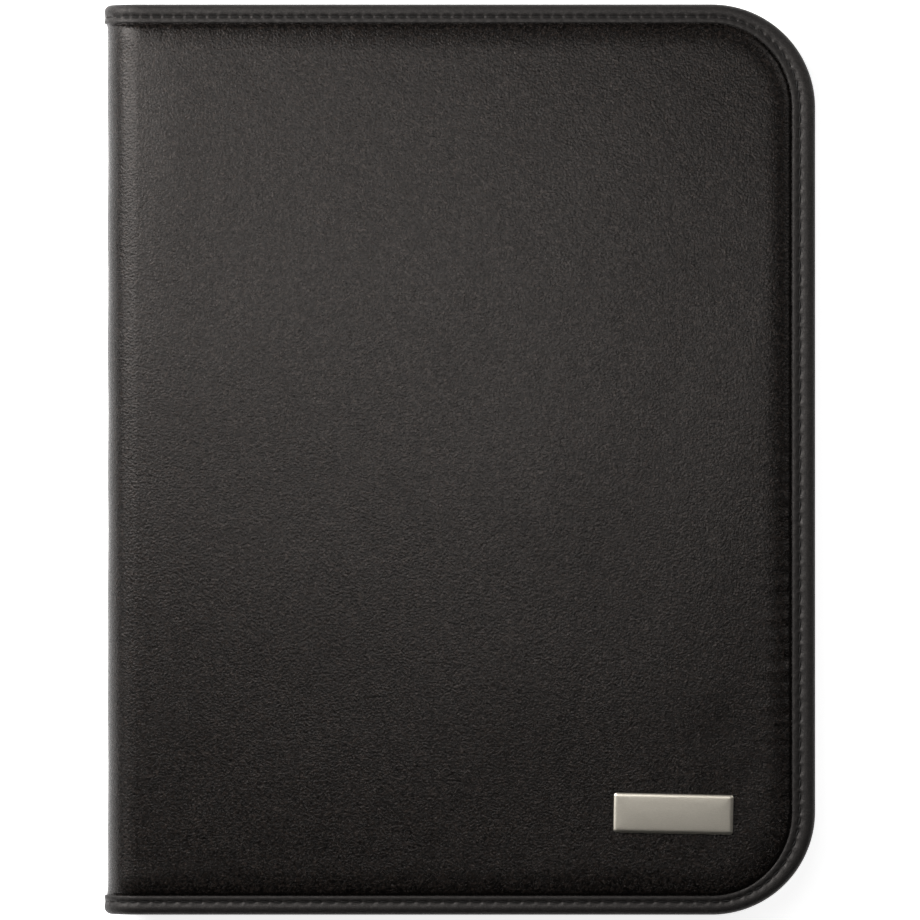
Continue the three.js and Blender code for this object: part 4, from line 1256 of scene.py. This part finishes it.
sleeve_low, sleeve_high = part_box("pad_sleeve")
across = np.concatenate([sleeve_low.x + RIM_INSETS, np.linspace(sleeve_low.x, sleeve_high.x, 40)[1:-1],
                         sleeve_high.x - RIM_INSETS[::-1]])
upwards = np.concatenate([sleeve_low.y + RIM_INSETS, np.linspace(sleeve_low.y, sleeve_high.y, 28)[1:]])
grid_x, grid_y = np.meshgrid(across, upwards, indexing="ij")
from_rim = np.minimum.reduce([grid_x - sleeve_low.x, sleeve_high.x - grid_x, grid_y - sleeve_low.y])
sleeve_top, sleeve_under = (
    np.stack([grid_x, grid_y, np.interp(from_rim, RIM_INSETS, levels)], -1).reshape(-1, 3)
    for levels in (RIM_LEVELS, UNDER_LEVELS))
points, faces, _ = closed_between(sleeve_top, sleeve_under, grid_faces(*grid_x.shape)[:, ::-1].tolist())
sleeve = make_piece("sleeve_cloth", points, faces, LINING_CLOTH, sharp=50)
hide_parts("pad_sleeve")
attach(sleeve, "back_cover")
left, right, foot = sleeve_low.x + SEAM_INSET, sleeve_high.x - SEAM_INSET, sleeve_low.y + SEAM_INSET
sleeve_seam = [(left, sleeve_high.y), (left, foot), (right, foot), (right, sleeve_high.y)]
points, faces = running_stitches(sleeve_seam, SLEEVE_TOP)
sleeve_thread = make_piece("sleeve_stitches", points, faces, SEWING_THREAD, sharp=0)
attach(sleeve_thread, "back_cover")
print("sleeve", [round(size / MM, 1) for size in sleeve_high - sleeve_low])

# %% [markdown]
# A tape folded over the head of the pad holds its sheets together. It is a strip with a round fold,
# swept from its cross section.

# %% Tape over the pad's head
tape_low, tape_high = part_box("pad_head_tape")
start = tape_low.y / MM
FOLDED = [(start, 14.0), (start, 14.4), (147.4, 14.4), (148.3, 14.28), (148.82, 13.9), (149.0, 13.3),
          (149.0, 6.2), (148.6, 6.2), (148.6, 13.3), (148.5, 13.65), (148.1, 13.93), (147.4, 14.0)]
stations = np.linspace(tape_low.x, tape_high.x, 30)
loops = np.array([[(x, y * MM, z * MM) for y, z in FOLDED] for x in stations])
loops[:, 1:7, 2] -= 0.03 * MM * (1 + np.sin(loops[:, 1:7, 0] * 300))
points, faces = tube(loops)
head_tape = make_piece("head_tape", points, faces, ZIPPER_CLOTH, sharp=50)
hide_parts("pad_head_tape")
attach(head_tape, "back_cover")
print("head tape", round((tape_high.x - tape_low.x) / MM), "mm long")

# %% [markdown]
# The pen loop is ribbed elastic, bent round into a ring and sewn down through its flat tab. Its ribs run
# round the ring, so the ring is a profile with small waves along the pen, turned about the pen's axis.

# %% Pen loop
LOOP_RIB = 1.1 * MM
RIB_DEPTH = 0.07 * MM
LOOP_THICK = 1 * MM
END_ROUND = 0.35 * MM
TAB_HALF = 6 * MM
TAB_THICK = 0.95 * MM


def ribbed_elastic():
    finish = Finish("ribbed_elastic", (0.012, 0.012, 0.012), 0.7, Sheen_Weight=0.15)
    threads = finish.ribs(0.55 * MM, "Y")
    knit = finish.noise(0.35 * MM)
    finish.colours(finish.mixture(threads, 0.6, knit), (0.006, 0.006, 0.006), (0.024, 0.024, 0.025))
    finish.roughness(knit, 0.62, 0.78)
    finish.bump(threads, 0.08 * MM)
    return finish.material


loop_low, loop_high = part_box("pen_loop")
loop_radius = (loop_high.z - loop_low.z) / 2
loop_middle = np.array([(loop_low.x + loop_high.x) / 2, 0, loop_low.z + loop_radius])
half = (loop_high.y - loop_low.y) / 2
along = np.linspace(-half, half, 81)
end_round = END_ROUND * (1 - np.sqrt(1 - np.clip(1 - (half - np.abs(along)) / (0.5 * MM), 0, 1) ** 2))
outer_radius = loop_radius - RIB_DEPTH * (1 - np.cos(2 * math.pi * along / LOOP_RIB)) / 2 - end_round
inner_radius = np.full(len(along), loop_radius - LOOP_THICK) + end_round
radii = np.concatenate([outer_radius, inner_radius[::-1]])
profile_y = np.concatenate([along, along[::-1]])
turns = np.linspace(0, 2 * math.pi, 65)[:-1]
loops = np.array([np.column_stack([radii * math.cos(turn), profile_y, radii * math.sin(turn)])
                  for turn in turns])
ring = tube(loops + loop_middle, joined=True)
tab_low = (loop_middle[0] - TAB_HALF, -half, loop_low.z)
tab_high = (loop_middle[0] + TAB_HALF, half, loop_low.z + TAB_THICK)
tab = slab(tab_low, tab_high, 0.5 * MM)
points, faces = merged([ring, tab])
elastic = make_piece("elastic_loop", points, faces, ribbed_elastic(), sharp=50)
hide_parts("pen_loop")
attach(elastic, "back_cover")
print("pen loop bore", round(2 * (loop_radius - LOOP_THICK) / MM, 1), "mm")

# %% [markdown]
# ## Inside of the front cover
#
# A large document pocket is sewn to the lining, with two card pockets and a clear window on it. Each is a
# hemmed panel with its own row of stitches. The panels are drawn on the back cover's side and mirrored.

# %% Document and card pockets
HEM_WIDTHS = {"document_pocket": (4, 4, 4, 10), "card_pocket_upper": (3, 3, 3, 6),
              "card_pocket_lower": (3, 3, 3, 6)}
SEWN_INSET = 1.8 * MM


def pocket(node, hems, seed):
    """A hemmed panel in the place of a pocket's solid, with its stitches."""
    low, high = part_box(node)
    under, over = THICK - high.z, THICK - low.z
    points, faces = sewn_panel((low.x, low.y), (high.x, high.y), under, over, hems, seed)
    panel = front_piece(f"{node}_panel", points, faces, LINING_CLOTH, "lining")
    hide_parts(node)
    left, right, foot, top = low.x + SEWN_INSET, high.x - SEWN_INSET, low.y + SEWN_INSET, high.y - SEWN_INSET
    hem = high.y - (hems[3] - 1.2) * MM
    rows = [running_stitches([(left, top), (left, foot), (right, foot), (right, top)], over),
            running_stitches([(left + SEWN_INSET, hem), (right - SEWN_INSET, hem)], over)]
    thread = front_piece(f"{node}_stitches", *merged(rows), SEWING_THREAD, "lining", sharp=0)


for seed, (node, hems) in enumerate(HEM_WIDTHS.items()):
    pocket(node, hems, 40 + seed)

# %% [markdown]
# The window is a clear sheet in a sewn frame. The clear sheet is glass to the shader: it lets light
# through and keeps a soft shine.

# %% Card window
FRAME_WIDTH = 7 * MM
TUCKED = 4 * MM
SEAM_INSETS = (SEWN_INSET, 5.4 * MM)


def clear_plastic():
    finish = Finish("clear_plastic", (0.95, 0.97, 0.98), 0.08, IOR=1.45, Transmission_Weight=1)
    haze = finish.noise(12 * MM)
    finish.roughness(haze, 0.05, 0.14)
    finish.bump(haze, 0.02 * MM)
    return finish.material


low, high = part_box("card_window")
under, over = THICK - high.z, THICK - low.z
hole = ((low.x + FRAME_WIDTH, low.y + FRAME_WIDTH), (high.x - FRAME_WIDTH, high.y - FRAME_WIDTH))
points, faces = sewn_panel((low.x, low.y), (high.x, high.y), under, over, (7, 7, 7, 7), 50, hole)
window_frame = front_piece("window_frame", points, faces, LINING_CLOTH, "lining")
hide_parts("card_window")
sheet_low = (hole[0][0] - TUCKED, hole[0][1] - TUCKED, under + 0.02 * MM)
sheet_high = (hole[1][0] + TUCKED, hole[1][1] + TUCKED, under + 0.12 * MM)
sheet = slab(sheet_low, sheet_high, 1 * MM)
window_sheet = front_piece("window_sheet", *sheet, clear_plastic(), "clear_sheet")
rows = []
for inset in SEAM_INSETS:
    left, right, foot, head = low.x + inset, high.x - inset, low.y + inset, high.y - inset
    corners = [(left, foot), (right, foot), (right, head), (left, head), (left, foot)]
    rows.append(running_stitches(corners, over))
window_thread = front_piece("window_stitches", *merged(rows), SEWING_THREAD, "lining", sharp=0)
print("window", [round(size / MM) for size in (high - low).xy])

# %% [markdown]
# ## Metal plate
#
# The plate is stamped from sheet metal: rounded corners, a bevel all round that catches the light, and a
# face that crowns by a few hundredths. It lies turned by about a degree, as in the photograph. Its
# outline is shrunk step by step, and each step gets its own level.

# %% Plate
PLATE_SIZE = (45 * MM, 15 * MM)
PLATE_TURN = math.radians(-1.2)
PLATE_CORNER = 1.1 * MM
PLATE_DARK = (0.43, 0.39, 0.325)
PLATE_PALE = (0.74, 0.695, 0.605)
PLATE_STEPS = [(0, 0), (0, 0.42), (0.05, 0.52), (0.25, 0.68), (0.75, 0.87), (1.1, 0.92), (1.7, 0.945),
               (3.5, 0.97), (5.5, 0.99), (7.2, 1.0)]


def rounded_outline(half_width, half_height, radius, count=8):
    """Corners of a rounded rectangle, the same number of points for every size."""
    radius = max(min(radius, half_height), 0.02 * MM)
    points = []
    for corner, (side_x, side_y) in enumerate(((1, 1), (-1, 1), (-1, -1), (1, -1))):
        for turn in np.linspace(0, math.pi / 2, count) + corner * math.pi / 2:
            points.append((side_x * (half_width - radius) + radius * math.cos(turn),
                           side_y * (half_height - radius) + radius * math.sin(turn)))
    return points


def nickel_plate():
    finish = Finish("nickel_plate", PLATE_DARK, 0.36, Metallic=1)
    brush = finish.noise(0.5 * MM, detail=3, vector=finish.stretched((0.35, 2.2, 1), -PLATE_TURN))
    speck = finish.noise(0.35 * MM)
    finish.colours(finish.mixture(brush, 0.5, speck), PLATE_DARK, PLATE_PALE)
    finish.roughness(speck, 0.3, 0.44)
    finish.bump(brush, 0.01 * MM)
    return finish.material


plate_low, plate_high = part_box("metal_plate")
plate_x, plate_y = (plate_low.x + plate_high.x) / 2, (plate_low.y + plate_high.y) / 2
loops = []
for inset, level in PLATE_STEPS:
    outline = np.array(rounded_outline(PLATE_SIZE[0] / 2 - inset * MM, PLATE_SIZE[1] / 2 - inset * MM,
                                       PLATE_CORNER - inset * MM * 0.6))
    turned_x = plate_x + outline[:, 0] * math.cos(PLATE_TURN) - outline[:, 1] * math.sin(PLATE_TURN)
    turned_y = plate_y + outline[:, 0] * math.sin(PLATE_TURN) + outline[:, 1] * math.cos(PLATE_TURN)
    loops.append(np.column_stack([turned_x, turned_y, np.full(len(outline), plate_low.z + level * MM)]))
points, faces = tube(np.array(loops))
plate = make_piece("nickel_label", points, faces, nickel_plate(), sharp=35)
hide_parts("metal_plate")
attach(plate, "front_cover")
print("plate at", round(plate_x / MM, 1), round(plate_y / MM, 1))

# %% [markdown]
# ## Sizes
#
# The dressed folder has to stay in the box of its solids, so how much its box has grown is printed.

# %% Print how much the box has grown
final_low, final_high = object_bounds()
grown = (final_high - final_low) - (cad_high - cad_low)
print("grown in mm", [round(size / MM, 2) for size in grown])
